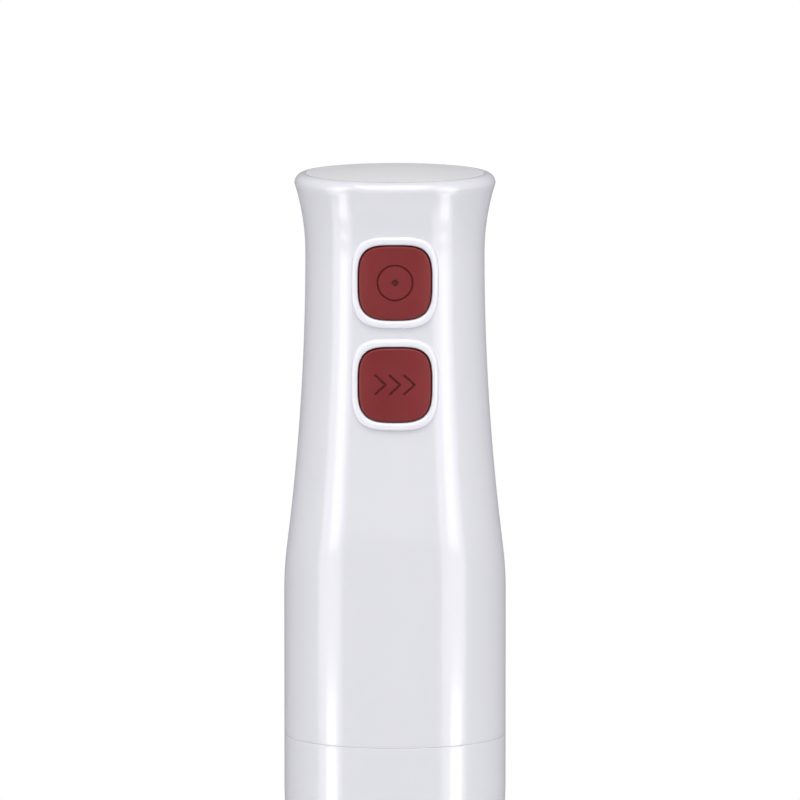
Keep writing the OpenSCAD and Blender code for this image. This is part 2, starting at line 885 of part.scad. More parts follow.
module armature_core() {
    color([0.5, 0.5, 0.52])
        difference() {
            pipe(rotor_r, motor_shaft_r, stator_z, stator_z + stator_h);
            at_rotor_slots() {
                translate([0, 0, stator_z - over])
                    cylinder(r = rotor_slot_r, h = stator_h + 2 * over, $fn = 32);
                translate([0, -0.6, stator_z - over]) cube([rotor_r, 1.2, stator_h + 2 * over]);
            }
        }
}

module armature_windings() {
    end_h = 4.5;
    color([0.72, 0.38, 0.18]) {
        for (z = [stator_z - end_h, stator_z + stator_h])
            pipe(rotor_slot_pitch_r + rotor_slot_r, 4.5, z, z + end_h);
        at_rotor_slots()
            translate([0, 0, stator_z - 0.5]) cylinder(r = rotor_slot_r - 0.05, h = stator_h + 1, $fn = 32);
    }
}

module commutator() {
    color([0.75, 0.45, 0.25])
        difference() {
            pipe(commutator_r, motor_shaft_r, commutator_z, commutator_z + commutator_h);
            for (i = [0:rotor_slots - 1])
                rotate([0, 0, 360 * (i + 0.5) / rotor_slots])
                    translate([commutator_r - 0.9, -0.25, commutator_z - over])
                        cube([2, 0.5, commutator_h + 2 * over]);
        }
}

module cooling_fan() {
    color([0.3, 0.3, 0.32]) {
        pipe(fan_r, motor_shaft_r, fan_z, fan_z + 1.5);
        pipe(5.5, motor_shaft_r, fan_z, fan_z + fan_h);
        for (i = [0:fan_blades - 1])
            rotate([0, 0, 360 * i / fan_blades])
                translate([5, -0.7, fan_z + 0.5]) cube([fan_r - 5.5, 1.4, fan_h - 1]);
    }
}

module drive_coupler() {
    color([0.15, 0.15, 0.17])
        difference() {
            union() {
                translate([0, 0, coupler_tip_z])
                    cylinder(r = coupler_r, h = coupler_top_z - coupler_tip_z, $fn = 6);
                pipe(coupler_r, motor_shaft_r, coupler_top_z - 2, coupler_top_z);
            }
            translate([0, 0, coupler_top_z - coupler_grip])
                cylinder(r = motor_shaft_r, h = coupler_grip + over);
        }
}

// ---- Foot ----

module foot_collar() {
    shoulder_z = foot_h - part_gap;
    collar_band_h = 6;
    flare = [for (t = [0:0.125:1])
        [collar_low_r + (nose_r - collar_low_r) * (1 - cos(90 * t)),
            collar_low_z + collar_band_h + (collar_h - 2 * collar_band_h) * t]];
    color("white")
        rotate_extrude()
            polygon(concat(
                [[tube_r, collar_low_z], [collar_low_r, collar_low_z]],
                flare,
                [[nose_r, shoulder_z], [spigot_r, shoulder_z], [spigot_r, groove_z], [groove_r, groove_z],
                [groove_r, flange_z], [spigot_r, flange_z], [spigot_r, spigot_top_z - 0.8],
                [spigot_r - 0.8, spigot_top_z], [cup_bore_r, spigot_top_z],
                [cup_bore_r, upper_bushing_z + bushing_h], [bushing_r, upper_bushing_z + bushing_h],
                [bushing_r, upper_bushing_z - 1], [bushing_r - 1, upper_bushing_z - 1],
                [bushing_r - 1, tube_top_z], [tube_r, tube_top_z]]));
}

module foot_tube() {
    color([0.8, 0.8, 0.82]) pipe(tube_r, tube_r - tube_t, tube_low_z, tube_top_z);
}

// The bell's outline at a height: a quarter ellipse from the tube out to the rim
bell_sleeve_h = 9;
bell_skirt_h = 6;
function bell_out_r(z) = z < bell_skirt_h
    ? bell_r
    : tube_r + bell_t
        + (bell_r - tube_r - bell_t) * sqrt(1 - pow((z - bell_skirt_h) / (bell_h - bell_skirt_h), 2));

bell_slot_count = 4;
bell_slot_r = 7;
bell_slot_h = 11;
bell_slot_low_z = 4;

module bell_guard() {
    turns = [for (t = [0:10:90]) bell_skirt_h + (bell_h - bell_skirt_h) * sin(t)];
    outside = [for (z = turns) [bell_out_r(z), z]];
    inside = [for (i = [0:9])
        let (z = bell_skirt_h + (bell_h - bell_t - bell_skirt_h) * sin(90 - 10 * i),
            half = (z - bell_skirt_h) / (bell_h - bell_t - bell_skirt_h))
        [tube_r + (bell_r - bell_t - tube_r) * sqrt(max(0, 1 - half * half)), z]];
    color([0.8, 0.8, 0.82])
        difference() {
            rotate_extrude()
                polygon(concat([[bell_r - bell_t, 0], [bell_r, 0]], outside,
                    [[tube_r + bell_t, bell_h + bell_sleeve_h], [tube_r, bell_h + bell_sleeve_h]], inside));
            for (i = [0:bell_slot_count - 1])
                rotate([0, 0, 45 + 360 * i / bell_slot_count]) {
                    translate([tube_r, 0, bell_slot_h])
                        rotate([0, 90, 0]) cylinder(r = bell_slot_r, h = bell_r);
                    translate([tube_r, -bell_slot_r, bell_slot_low_z])
                        cube([bell_r, 2 * bell_slot_r, bell_slot_h - bell_slot_low_z]);
                }
        }
}

module bearing_carrier() {
    inner_r = tube_r - tube_t;
    hole_x = (inner_r + bushing_r) / 2 + 0.1;
    hole_r = (inner_r - bushing_r) / 4;
    color([0.2, 0.2, 0.22])
        difference() {
            pipe(inner_r, bushing_r, lower_bushing_z - seal_t, lower_bushing_z + bushing_h);
            for (a = [0:60:300])
                rotate([0, 0, a])
                    translate([hole_x, 0, lower_bushing_z])
                        cylinder(r = hole_r, h = bushing_h + over, $fn = 32);
        }
}

module bushing(z) { pipe(bushing_r, shaft_r + run_fit, z, z + bushing_h); }
module upper_bushing() { color([0.7, 0.5, 0.25]) bushing(upper_bushing_z - 1); }
module lower_bushing() { color([0.7, 0.5, 0.25]) bushing(lower_bushing_z); }

module shaft_seal() {
    color([0.1, 0.1, 0.1]) pipe(bushing_r, shaft_r + run_fit, lower_bushing_z - seal_t, lower_bushing_z);
}

module drive_shaft() {
    color("silver")
        translate([0, 0, blade_z - shaft_tip])
            cylinder(r = shaft_r, h = cup_floor_z - 1 - blade_z + shaft_tip);
}

module driven_cup() {
    color([0.2, 0.2, 0.22])
        difference() {
            translate([0, 0, cup_low_z]) cylinder(r = cup_r, h = cup_top_z - cup_low_z);
            translate([0, 0, cup_floor_z])
                cylinder(r = coupler_r + 0.35, h = cup_top_z - cup_floor_z + over, $fn = 6);
            translate([0, 0, cup_low_z - over]) cylinder(r = shaft_r, h = cup_floor_z - 1 - cup_low_z + over);
        }
}

module blade() {
    wing_w = 8;
    flat_len = 12;
    wing_len = blade_span / 2 - flat_len;
    tip_tilt = 18;
    color([0.82, 0.83, 0.85])
        difference() {
            union() {
                translate([0, 0, blade_z]) cylinder(r = 7, h = blade_t);
                for (side = [0, 180])
                    rotate([0, 0, side]) {
                        translate([0, -wing_w / 2, blade_z]) cube([flat_len, wing_w, blade_t]);
                        translate([flat_len - 0.3, 0, blade_z])
                            rotate([0, side == 0 ? -tip_tilt : tip_tilt, 0])
                                linear_extrude(blade_t)
                                    polygon([[0, -wing_w / 2], [wing_len - 2, -wing_w / 2],
                                        [wing_len, wing_w / 4], [wing_len - 2, wing_w / 2], [0, wing_w / 2]]);
                    }
            }
            translate([0, 0, blade_z - over]) cylinder(r = shaft_r, h = blade_t + 2 * over);
        }
}

module blade_hub() {
    color("silver") pipe(hub_r, shaft_r, blade_z + blade_t, lower_bushing_z - seal_t - part_gap);
}

module blade_nut() {
    color("silver")
        difference() {
            translate([0, 0, blade_z - nut_t]) cylinder(r = nut_r, h = nut_t, $fn = 6);
            translate([0, 0, blade_z - shaft_tip]) cylinder(r = shaft_r, h = shaft_tip + over);
        }
}

front_shell();
rear_shell();
top_cap();
nose_housing();
speed_bezel();
turbo_bezel();
button_carrier();
control_board();
speed_switch();
turbo_switch();
suppression_capacitor();
bridge_rectifier();
board_screws();
speed_spring();
turbo_spring();
housing_screws();
cord_grommet();
latch_block();
left_latch_spring();
right_latch_spring();
stator_core();
field_coils();
upper_end_frame();
lower_end_frame();
motor_screws();
upper_bearing();
lower_bearing();
brush_holders();
carbon_brushes();
brush_springs();
motor_mount_rings();
motor_leads();
speed_button_cap();
speed_plunger();
turbo_button_cap();
turbo_plunger();
left_release_cap();
left_latch_plate();
right_release_cap();
right_latch_plate();
motor_shaft();
armature_core();
armature_windings();
commutator();
cooling_fan();
drive_coupler();
foot_collar();
foot_tube();
bell_guard();
bearing_carrier();
upper_bushing();
lower_bushing();
shaft_seal();
drive_shaft();
driven_cup();
blade();
blade_hub();
blade_nut();
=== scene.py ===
import json
import math

import bmesh
import bpy
from mathutils import Matrix, Vector
from mathutils.geometry import tessellate_polygon


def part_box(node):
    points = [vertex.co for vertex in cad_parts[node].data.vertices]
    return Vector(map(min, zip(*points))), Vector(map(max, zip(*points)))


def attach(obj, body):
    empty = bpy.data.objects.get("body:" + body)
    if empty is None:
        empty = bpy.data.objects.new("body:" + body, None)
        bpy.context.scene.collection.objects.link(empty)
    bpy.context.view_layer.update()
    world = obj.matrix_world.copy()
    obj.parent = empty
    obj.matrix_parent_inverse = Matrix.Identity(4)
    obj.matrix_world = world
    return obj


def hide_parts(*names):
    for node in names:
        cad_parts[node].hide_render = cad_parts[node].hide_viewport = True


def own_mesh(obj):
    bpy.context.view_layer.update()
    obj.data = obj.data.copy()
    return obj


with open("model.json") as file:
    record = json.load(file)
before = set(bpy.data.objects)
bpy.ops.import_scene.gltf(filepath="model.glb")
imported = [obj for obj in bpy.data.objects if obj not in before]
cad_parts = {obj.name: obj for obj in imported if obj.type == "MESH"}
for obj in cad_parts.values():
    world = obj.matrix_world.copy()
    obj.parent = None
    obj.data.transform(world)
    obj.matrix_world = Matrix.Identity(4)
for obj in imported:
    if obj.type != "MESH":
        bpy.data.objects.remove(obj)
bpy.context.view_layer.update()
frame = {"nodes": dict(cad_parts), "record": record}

MM = 0.001

# ---- Sizes, from the frame where it holds them ----

TOP_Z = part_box("front_shell")[1].z
NOSE_LOW_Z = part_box("nose_housing")[0].z
SHELL_LOW_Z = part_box("front_shell")[0].z
BODY_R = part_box("nose_housing")[1].x
CAP_LOW, CAP_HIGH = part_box("top_cap")
CAP_R = CAP_HIGH.x
GRIP_Y = (CAP_LOW.y + CAP_HIGH.y) / 2
SEAM_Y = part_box("front_shell")[1].y
CAP_SEAT_Z = CAP_LOW.z
WALL = 2.2 * MM
NECK_R = 25 * MM
NECK_Z = TOP_Z - 22.5 * MM
RIM_R = 29 * MM
RIM_ROUND = 2.8 * MM
GRIP_SWEEP_R = 650 * MM
FLARE_R = ((RIM_R - NECK_R) ** 2 + (TOP_Z - NECK_Z) ** 2) / (2 * (RIM_R - NECK_R))
SEAM_GAP = 0.05 * MM
SEAM_EDGE = 0.25 * MM

BUTTON_FLANGE_W = 1.35 * MM
BUTTON_FLANGE_T = 1.4 * MM
BUTTON_LOW, BUTTON_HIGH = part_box("speed_button_cap")
BUTTON_W = BUTTON_HIGH.x - BUTTON_LOW.x - 2 * BUTTON_FLANGE_W
BUTTON_H = BUTTON_HIGH.z - BUTTON_LOW.z - 2 * BUTTON_FLANGE_W
BUTTON_GAP = 0.25 * MM
SLEEVE_T = 1.0 * MM
BEZEL_W = 1.9 * MM
BEZEL_H = 2.25 * MM
BEZEL_PROUD = 1.2 * MM
BUTTON_PROUD = 1.1 * MM
SQUIRCLE = 3.4


# ---- Camera, lights and stage ----

VIEW_TILT = math.radians(7)
VIEW_DISTANCE = 4.0
VIEW_WIDTH = 0.2235
SENSOR = 36.0


def centre_of(node):
    low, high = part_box(node)
    return (low + high) / 2


def make_camera():
    aim = Vector((1.4 * MM, GRIP_Y, TOP_Z - 63.9 * MM))
    back = Vector((0, -math.cos(VIEW_TILT), math.sin(VIEW_TILT)))
    data = bpy.data.cameras.new("camera")
    data.sensor_width = SENSOR
    data.lens = SENSOR * VIEW_DISTANCE / VIEW_WIDTH
    data.clip_start = 0.01
    data.clip_end = 50
    camera = bpy.data.objects.new("camera", data)
    camera.location = aim + back * VIEW_DISTANCE
    camera.rotation_mode = "QUATERNION"
    camera.rotation_quaternion = (-back).to_track_quat("-Z", "Y")
    bpy.context.collection.objects.link(camera)
    bpy.context.scene.camera = camera


def make_world():
    world = bpy.data.worlds.new("studio")
    bpy.context.scene.world = world
    world.use_nodes = True
    nodes, links = world.node_tree.nodes, world.node_tree.links
    nodes.clear()
    out = nodes.new("ShaderNodeOutputWorld")
    mix = nodes.new("ShaderNodeMixShader")
    path = nodes.new("ShaderNodeLightPath")
    room = nodes.new("ShaderNodeBackground")
    room.inputs["Color"].default_value = (0.93, 0.93, 1.0, 1)
    room.inputs["Strength"].default_value = 0.38
    paper = nodes.new("ShaderNodeBackground")
    paper.inputs["Color"].default_value = (1, 1, 1, 1)
    paper.inputs["Strength"].default_value = 1.0
    links.new(path.outputs["Is Camera Ray"], mix.inputs["Fac"])
    links.new(room.outputs[0], mix.inputs[1])
    links.new(paper.outputs[0], mix.inputs[2])
    links.new(mix.outputs[0], out.inputs["Surface"])


def area_light(name, azimuth, elevation, distance, width, height, radiance, diffuse=True, glossy=True):
    """A rectangular light; its azimuth is counted from the front, positive to the right."""
    aim = Vector((0, 0, LIGHT_AIM_Z))
    a, e = math.radians(azimuth), math.radians(elevation)
    back = Vector((math.sin(a) * math.cos(e), -math.cos(a) * math.cos(e), math.sin(e)))
    data = bpy.data.lights.new(name, "AREA")
    data.shape = "RECTANGLE"
    data.size = width
    data.size_y = height
    data.energy = radiance * math.pi * width * height
    light = bpy.data.objects.new(name, data)
    light.location = aim + back * distance
    light.rotation_mode = "QUATERNION"
    light.rotation_quaternion = (-back).to_track_quat("-Z", "Y")
    light.visible_diffuse = diffuse
    light.visible_glossy = glossy
    light.visible_camera = False
    bpy.context.collection.objects.link(light)
    return light


LIGHT_AIM_Z = TOP_Z - 100 * MM
STRIP_DISTANCE = 1.2
NEAR_STRIP_DISTANCE = 0.47
STRIP_LOW_Z = TOP_Z - 1.2
STRIP_HIGH_Z = TOP_Z + 1.0
BRIGHT_LOW_Z = TOP_Z - 0.22
NECK_STRIP_Z = (TOP_Z - 0.39, TOP_Z - 0.33)
FLARE_STRIP_Z = (TOP_Z - 0.385, TOP_Z - 0.205)
# Each side's strips: distance, farther and nearer azimuth in degrees, the heights of both ends, radiance
STRIPS = {
    -1: ((STRIP_DISTANCE, 86, 57, STRIP_LOW_Z, STRIP_HIGH_Z, 1.7),
         (STRIP_DISTANCE, 74, 62, BRIGHT_LOW_Z, STRIP_HIGH_Z, 2.1),
         (STRIP_DISTANCE, 74, 62, *NECK_STRIP_Z, 2.6),
         (NEAR_STRIP_DISTANCE, 74, 62, *FLARE_STRIP_Z, 3.0)),
    1: ((STRIP_DISTANCE, 78, 49, STRIP_LOW_Z, STRIP_HIGH_Z, 1.9),
        (STRIP_DISTANCE, 71, 59, BRIGHT_LOW_Z, STRIP_HIGH_Z, 1.9),
        (STRIP_DISTANCE, 71, 59, *NECK_STRIP_Z, 2.6),
        (NEAR_STRIP_DISTANCE, 71, 59, *FLARE_STRIP_Z, 3.0)),
}


def make_lights():
    """Upright strips that only show as highlights, and broad fills that only light the surfaces."""
    for side, strips in STRIPS.items():
        for i, (distance, far, near, low_z, high_z, radiance) in enumerate(strips):
            width = 2 * distance * math.tan(math.radians((far - near) / 2))
            strip = area_light(f"strip_{side}_{i}", side * (far + near) / 2, 0, distance, width,
                               high_z - low_z, radiance, diffuse=False)
            strip.location.z = (high_z + low_z) / 2
    area_light("front_fill", 0, 34, 0.95, 0.7, 0.7, 2.0, glossy=False)
    area_light("side_fill_left", -75, 10, 2.0, 0.8, 1.4, 3.1, glossy=False)
    area_light("side_fill_right", 75, 10, 2.0, 0.8, 1.4, 3.1, glossy=False)
    area_light("overhead", 0, 66, 1.6, 1.4, 0.8, 2.6, glossy=False)
    area_light("overhead_strip", 0, 62, 1.6, 2.0, 1.3, 3.3, diffuse=False)


def make_floor():
    """A round floor just under the bell; it rides on the foot, which stands on it."""
    bpy.ops.mesh.primitive_circle_add(vertices=96, radius=0.7, fill_type="NGON")
    floor = bpy.context.object
    floor.name = "floor"
    floor.location = (0, 0, -0.2 * MM)
    paint = plastic("floor_paint", (0.93, 0.93, 0.94), 0.6, grain_scale=0.0, vary=0.005, gloss_vary=0.03)
    floor.data.materials.append(paint)
    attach(floor, "foot")


# ---- Materials ----

def shader(name, colour, roughness, metallic=0.0):
    material = bpy.data.materials.new(name)
    material.use_nodes = True
    bsdf = material.node_tree.nodes["Principled BSDF"]
    bsdf.inputs["Base Color"].default_value = (*colour, 1)
    bsdf.inputs["Roughness"].default_value = roughness
    bsdf.inputs["Metallic"].default_value = metallic
    return material, bsdf, material.node_tree.nodes, material.node_tree.links


def speckle(nodes, links, scale, stretch=(1, 1, 1), detail=4.0):
    """Noise in object space; stretch below 1 draws it out along that axis."""
    where = nodes.new("ShaderNodeTexCoord")
    mapping = nodes.new("ShaderNodeMapping")
    mapping.inputs["Scale"].default_value = stretch
    noise = nodes.new("ShaderNodeTexNoise")
    noise.inputs["Scale"].default_value = scale
    noise.inputs["Detail"].default_value = detail
    links.new(where.outputs["Object"], mapping.inputs["Vector"])
    links.new(mapping.outputs[0], noise.inputs["Vector"])
    return noise.outputs["Fac"]


def ramped(nodes, links, source, low, high, start=0.3, end=0.7):
    ramp = nodes.new("ShaderNodeValToRGB")
    ramp.color_ramp.elements[0].position = start
    ramp.color_ramp.elements[1].position = end
    ramp.color_ramp.elements[0].color = (*low, 1)
    ramp.color_ramp.elements[1].color = (*high, 1)
    links.new(source, ramp.inputs["Fac"])
    return ramp.outputs["Color"]


def bumped(nodes, links, bsdf, source, strength, height):
    bump = nodes.new("ShaderNodeBump")
    bump.inputs["Strength"].default_value = strength
    bump.inputs["Distance"].default_value = height
    links.new(source, bump.inputs["Height"])
    links.new(bump.outputs["Normal"], bsdf.inputs["Normal"])


def plastic(name, colour, roughness, grain_scale=900.0, grain=0.05, vary=0.04, gloss_vary=0.15):
    """Moulded plastic: faint flow marks in its colour and gloss, and a fine skin texture."""
    material, bsdf, nodes, links = shader(name, colour, roughness)
    flow = speckle(nodes, links, 60.0)
    low = tuple(c * (1 - vary) for c in colour)
    high = tuple(min(1.0, c * (1 + vary)) for c in colour)
    links.new(ramped(nodes, links, flow, low, high), bsdf.inputs["Base Color"])
    dull, shiny = ((roughness * k,) * 3 for k in (1 + gloss_vary, 1 - gloss_vary))
    links.new(ramped(nodes, links, flow, shiny, dull), bsdf.inputs["Roughness"])
    if grain_scale:
        bumped(nodes, links, bsdf, speckle(nodes, links, grain_scale), grain, 0.02 * MM)
    return material


def glossy_white(name, level=0.78):
    """Polished white casing plastic under a clear gloss, with faint clouding in its colour."""
    tint = (level, level * 0.994, level * 1.036)
    material, bsdf, nodes, links = shader(name, tint, 0.14)
    bsdf.inputs["IOR"].default_value = 1.5
    bsdf.inputs["Coat Weight"].default_value = 0.4
    bsdf.inputs["Coat Roughness"].default_value = 0.06
    flow = speckle(nodes, links, 25.0)
    low, high = (tuple(min(1.0, c * k) for c in tint) for k in (0.994, 1.006))
    links.new(ramped(nodes, links, flow, low, high), bsdf.inputs["Base Color"])
    links.new(ramped(nodes, links, flow, (0.13,) * 3, (0.15,) * 3), bsdf.inputs["Roughness"])
    return material


def metal(name, colour, roughness, stretch=(1, 1, 1), scale=400.0, grain=0.08):
    """Brushed or ground metal: the grain runs along the axis whose stretch is smallest."""
    material, bsdf, nodes, links = shader(name, colour, roughness, 1.0)
    lines = speckle(nodes, links, scale, stretch, 6.0)
    low = tuple(c * 0.93 for c in colour)
    links.new(ramped(nodes, links, lines, low, colour), bsdf.inputs["Base Color"])
    shiny, dull = ((roughness * k,) * 3 for k in (0.7, 1.3))
    links.new(ramped(nodes, links, lines, shiny, dull), bsdf.inputs["Roughness"])
    bumped(nodes, links, bsdf, lines, grain, 0.03 * MM)
    return material


# ---- Meshes ----

def add_object(name, data, material, body, smooth_angle=32, replaces=()):
    obj = bpy.data.objects.new(name, data)
    bpy.context.collection.objects.link(obj)
    data.materials.append(material)
    finish_mesh(obj, smooth_angle)
    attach(obj, body)
    if replaces:
        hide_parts(*replaces)
    return obj


def finish_mesh(obj, smooth_angle):
    mesh = bmesh.new()
    mesh.from_mesh(obj.data)
    bmesh.ops.remove_doubles(mesh, verts=mesh.verts, dist=1e-7)
    loose = [edge for edge in mesh.edges if not edge.link_faces]
    bmesh.ops.delete(mesh, geom=loose, context="EDGES")
    bmesh.ops.recalc_face_normals(mesh, faces=mesh.faces)
    mesh.to_mesh(obj.data)
    mesh.free()
    for polygon in obj.data.polygons:
        polygon.use_smooth = True
    obj.data.set_sharp_from_angle(angle=math.radians(smooth_angle))


def mesh_from(name, points, faces):
    data = bpy.data.meshes.new(name)
    data.from_pydata([tuple(p) for p in points], [], faces)
    data.update()
    return data


def grid_faces(rows, columns, wrap_rows=False, wrap_columns=False, start=0):
    """Quads between the rows of a grid of points, whose first point has the index start."""
    faces = []
    for i in range(rows if wrap_rows else rows - 1):
        for j in range(columns if wrap_columns else columns - 1):
            row, next_row = start + i * columns, start + (i + 1) % rows * columns
            next_j = (j + 1) % columns
            faces.append((row + j, next_row + j, next_row + next_j, row + next_j))
    return faces


def arc(cx, cz, r, start, end, count):
    """Points of a circular arc in the profile plane, from start to end in degrees."""
    return [(cx + r * math.cos(math.radians(start + (end - start) * i / count)),
             cz + r * math.sin(math.radians(start + (end - start) * i / count))) for i in range(count + 1)]


def rounded(outline, radius, count=5):
    """The closed outline with its corners turned into arcs; a point's third value sets its own radius."""
    done = []
    total = len(outline)
    for i, entry in enumerate(outline):
        before, here, after = (Vector(outline[(i + k) % total][:2]) for k in (-1, 0, 1))
        own = entry[2] if len(entry) > 2 else radius
        u, v = before - here, after - here
        turn = math.pi - u.angle(v, 0)
        if turn < math.radians(25) or own == 0:
            done.append(tuple(here))
            continue
        reach = min(own * math.tan(turn / 2), 0.45 * u.length, 0.45 * v.length)
        start, end = here + u.normalized() * reach, here + v.normalized() * reach
        for k in range(count + 1):
            t = k / count
            done.append(tuple((1 - t) ** 2 * start + 2 * t * (1 - t) * here + t * t * end))
    return done


ALONG_Y = Matrix.Rotation(math.radians(-90), 4, "X")


def revolved(name, outline, segments=128, place=None):
    """A closed outline of (radius, height) turned about its axis, then put in place by a matrix."""
    place = place or Matrix.Identity(4)
    points = []
    for r, height in outline:
        for j in range(segments):
            a = 2 * math.pi * j / segments
            points.append(place @ Vector((max(r, 0.0) * math.cos(a), max(r, 0.0) * math.sin(a), height)))
    return mesh_from(name, points, grid_faces(len(outline), segments, wrap_rows=True, wrap_columns=True))


def boolean(obj, others, operation="DIFFERENCE"):
    """Cuts the others out of obj, or joins them to it, and deletes them."""
    for other in others:
        modifier = obj.modifiers.new("cut", "BOOLEAN")
        modifier.operation = operation
        modifier.solver = "EXACT"
        modifier.object = other
        bpy.context.view_layer.objects.active = obj
        bpy.ops.object.modifier_apply(modifier=modifier.name)
        data = other.data
        bpy.data.objects.remove(other)
        bpy.data.meshes.remove(data)


def cutter_from(points, faces):
    tool = bpy.data.objects.new("tool", mesh_from("tool", points, faces))
    bpy.context.collection.objects.link(tool)
    finish_mesh(tool, 30)
    return tool


def prism_cutter(outline, azimuth, near, far):
    """An outline of (sideways, height) pushed out from the axis towards an azimuth counted from +X."""
    out = Vector((math.cos(azimuth), math.sin(azimuth), 0))
    sideways = Vector((-out.y, out.x, 0))
    count = len(outline)
    points = [out * reach + sideways * t + Vector((0, 0, z)) for reach in (near, far) for t, z in outline]
    faces = grid_faces(2, count, wrap_columns=True)
    faces += [tuple(range(count - 1, -1, -1)), tuple(range(count, 2 * count))]
    return cutter_from(points, faces)


def slot_outline(half_w, low, high, corner):
    return rounded([(-half_w, low), (half_w, low), (half_w, high), (-half_w, high)], corner)


def squircle(half_w, half_h, count, power=SQUIRCLE):
    """Points of a superellipse, evenly spread by angle."""
    points = []
    for i in range(count):
        a = 2 * math.pi * i / count
        c, s = math.cos(a), math.sin(a)
        k = (abs(c / half_w) ** power + abs(s / half_h) ** power) ** (-1 / power)
        points.append((k * c, k * s))
    return points


# ---- The handle's outer surface ----

def grip_radius(z):
    if z > NECK_Z:
        return NECK_R + FLARE_R - math.sqrt(FLARE_R ** 2 - (z - NECK_Z) ** 2)
    return NECK_R + GRIP_SWEEP_R - math.sqrt(GRIP_SWEEP_R ** 2 - (NECK_Z - z) ** 2)


def circle_reach(theta, radius):
    """Distance from the motor's axis to the grip's circle of that radius; theta is from the front."""
    along = -GRIP_Y * math.cos(theta)
    return along + math.sqrt(along ** 2 + radius ** 2 - GRIP_Y ** 2)


def soft_min(a, b, blend):
    h = max(blend - abs(a - b), 0) / blend
    return min(a, b) - h * h * blend / 4


CREASE_FRONT = 0.10 * MM
CREASE_SIDE = 0.9 * MM


def casing_reach(theta, z, inset=0.0):
    """Distance from the motor's axis to the casing: the grip and the motor section, whichever is
    nearer, with a blended crease."""
    grip = circle_reach(theta, grip_radius(z) - inset)
    side = math.sin(theta) ** 2
    blend = CREASE_FRONT + (CREASE_SIDE - CREASE_FRONT) * side
    return soft_min(grip, BODY_R - inset, blend)


def casing_profile():
    """Stations round the wall's section: (kind, radius or inset, height), outside up and inside down."""
    stations = []
    edge = SEAM_EDGE
    for i in range(5):
        a = math.pi / 2 * i / 4
        stations.append(("wall", edge * (1 - math.sin(a)), SHELL_LOW_Z + edge * (1 - math.cos(a))))
    low, high = SHELL_LOW_Z + edge, NECK_Z + 4 * MM
    count = 96
    stations += [("wall", 0.0, low + (high - low) * i / count) for i in range(1, count + 1)]
    rim_z = TOP_Z - RIM_ROUND
    rim_r = grip_radius(rim_z)
    count = 12
    stations += [("ring", grip_radius(high + (rim_z - high) * i / count), high + (rim_z - high) * i / count)
                 for i in range(1, count + 1)]
    stations += [("ring", r, z) for r, z in arc(rim_r - RIM_ROUND, rim_z, RIM_ROUND, 8, 90, 14)]
    lip_r = CAP_R + 0.05 * MM
    lip_edge = 0.12 * MM
    stations += [("ring", r, z) for r, z in arc(lip_r + lip_edge, TOP_Z - lip_edge, lip_edge, 90, 180, 5)]
    stations += [("ring", lip_r, CAP_SEAT_Z), ("ring", CAP_R - 1.4 * MM, CAP_SEAT_Z),
                 ("ring", CAP_R - 1.4 * MM, CAP_SEAT_Z - 1.5 * MM)]
    inner_high = CAP_SEAT_Z - 1.6 * MM
    count = 40
    stations += [("wall", WALL, inner_high + (SHELL_LOW_Z - inner_high) * i / count)
                 for i in range(count + 1)]
    return stations


def seam_angle(reach, seam_y):
    """Angle from the front at which a casing of this reach meets the seam plane."""
    theta = math.pi / 2
    for _ in range(12):
        theta = math.acos(max(-1.0, min(1.0, -seam_y / reach(theta))))
    return theta


def casing_half(name, front):
    """One half of the casing, from seam to seam, with eased seam edges."""
    seam_y = SEAM_Y - SEAM_GAP if front else SEAM_Y + SEAM_GAP
    columns = 144
    rows = []
    for kind, size, z in casing_profile():
        reach = (lambda t: circle_reach(t, size)) if kind == "ring" else (lambda t: casing_reach(t, z, size))
        limit = seam_angle(reach, seam_y)
        start, end = (-limit, limit) if front else (limit, 2 * math.pi - limit)
        outside = kind == "ring" or size < WALL
        row = []
        for j in range(columns + 1):
            share = j / columns
            theta = start + (end - start) * share
            reached = reach(theta)
            away = min(share, 1 - share) * (end - start) * reached
            if outside and away < SEAM_EDGE:
                reached -= SEAM_EDGE - math.sqrt(SEAM_EDGE ** 2 - (SEAM_EDGE - away) ** 2)
            row.append((reached * math.sin(theta), -reached * math.cos(theta), z))
        rows.append(row)
    points = [p for row in rows for p in row]
    width = columns + 1
    faces = grid_faces(len(rows), width, wrap_rows=True)
    for column in (0, columns):
        section = [Vector((row[column][0], row[column][2], 0)) for row in rows]
        for triangle in tessellate_polygon([section]):
            faces.append(tuple(i * width + column for i in triangle))
    return mesh_from(name, points, faces)


def face_point(x, z, height):
    """A point at a height above the grip's front, straight ahead of (x, z)."""
    r = grip_radius(z) + height
    return (x, GRIP_Y - math.sqrt(r * r - x * x), z)


def window_cutter(z):
    """A squircle tunnel through the front wall behind a bezel."""
    margin = BUTTON_GAP + SLEEVE_T + 0.1 * MM
    outline = squircle(BUTTON_W / 2 + margin, BUTTON_H / 2 + margin, 96)
    return prism_cutter([(x, z + h) for x, h in outline], math.radians(-90), BUTTON_W / 2, BODY_R + 5 * MM)


def rod_cutter(start, end, radius, segments=64):
    start, end = Vector(start), Vector(end)
    turn = (end - start).to_track_quat("Z", "Y").to_matrix()
    points = []
    for origin in (start, end):
        for j in range(segments):
            a = 2 * math.pi * j / segments
            points.append(origin + turn @ Vector((radius * math.cos(a), radius * math.sin(a), 0)))
    faces = grid_faces(2, segments, wrap_columns=True)
    faces += [tuple(range(segments - 1, -1, -1)), tuple(range(segments, 2 * segments))]
    return cutter_from(points, faces)


TO_BACK = math.radians(90)


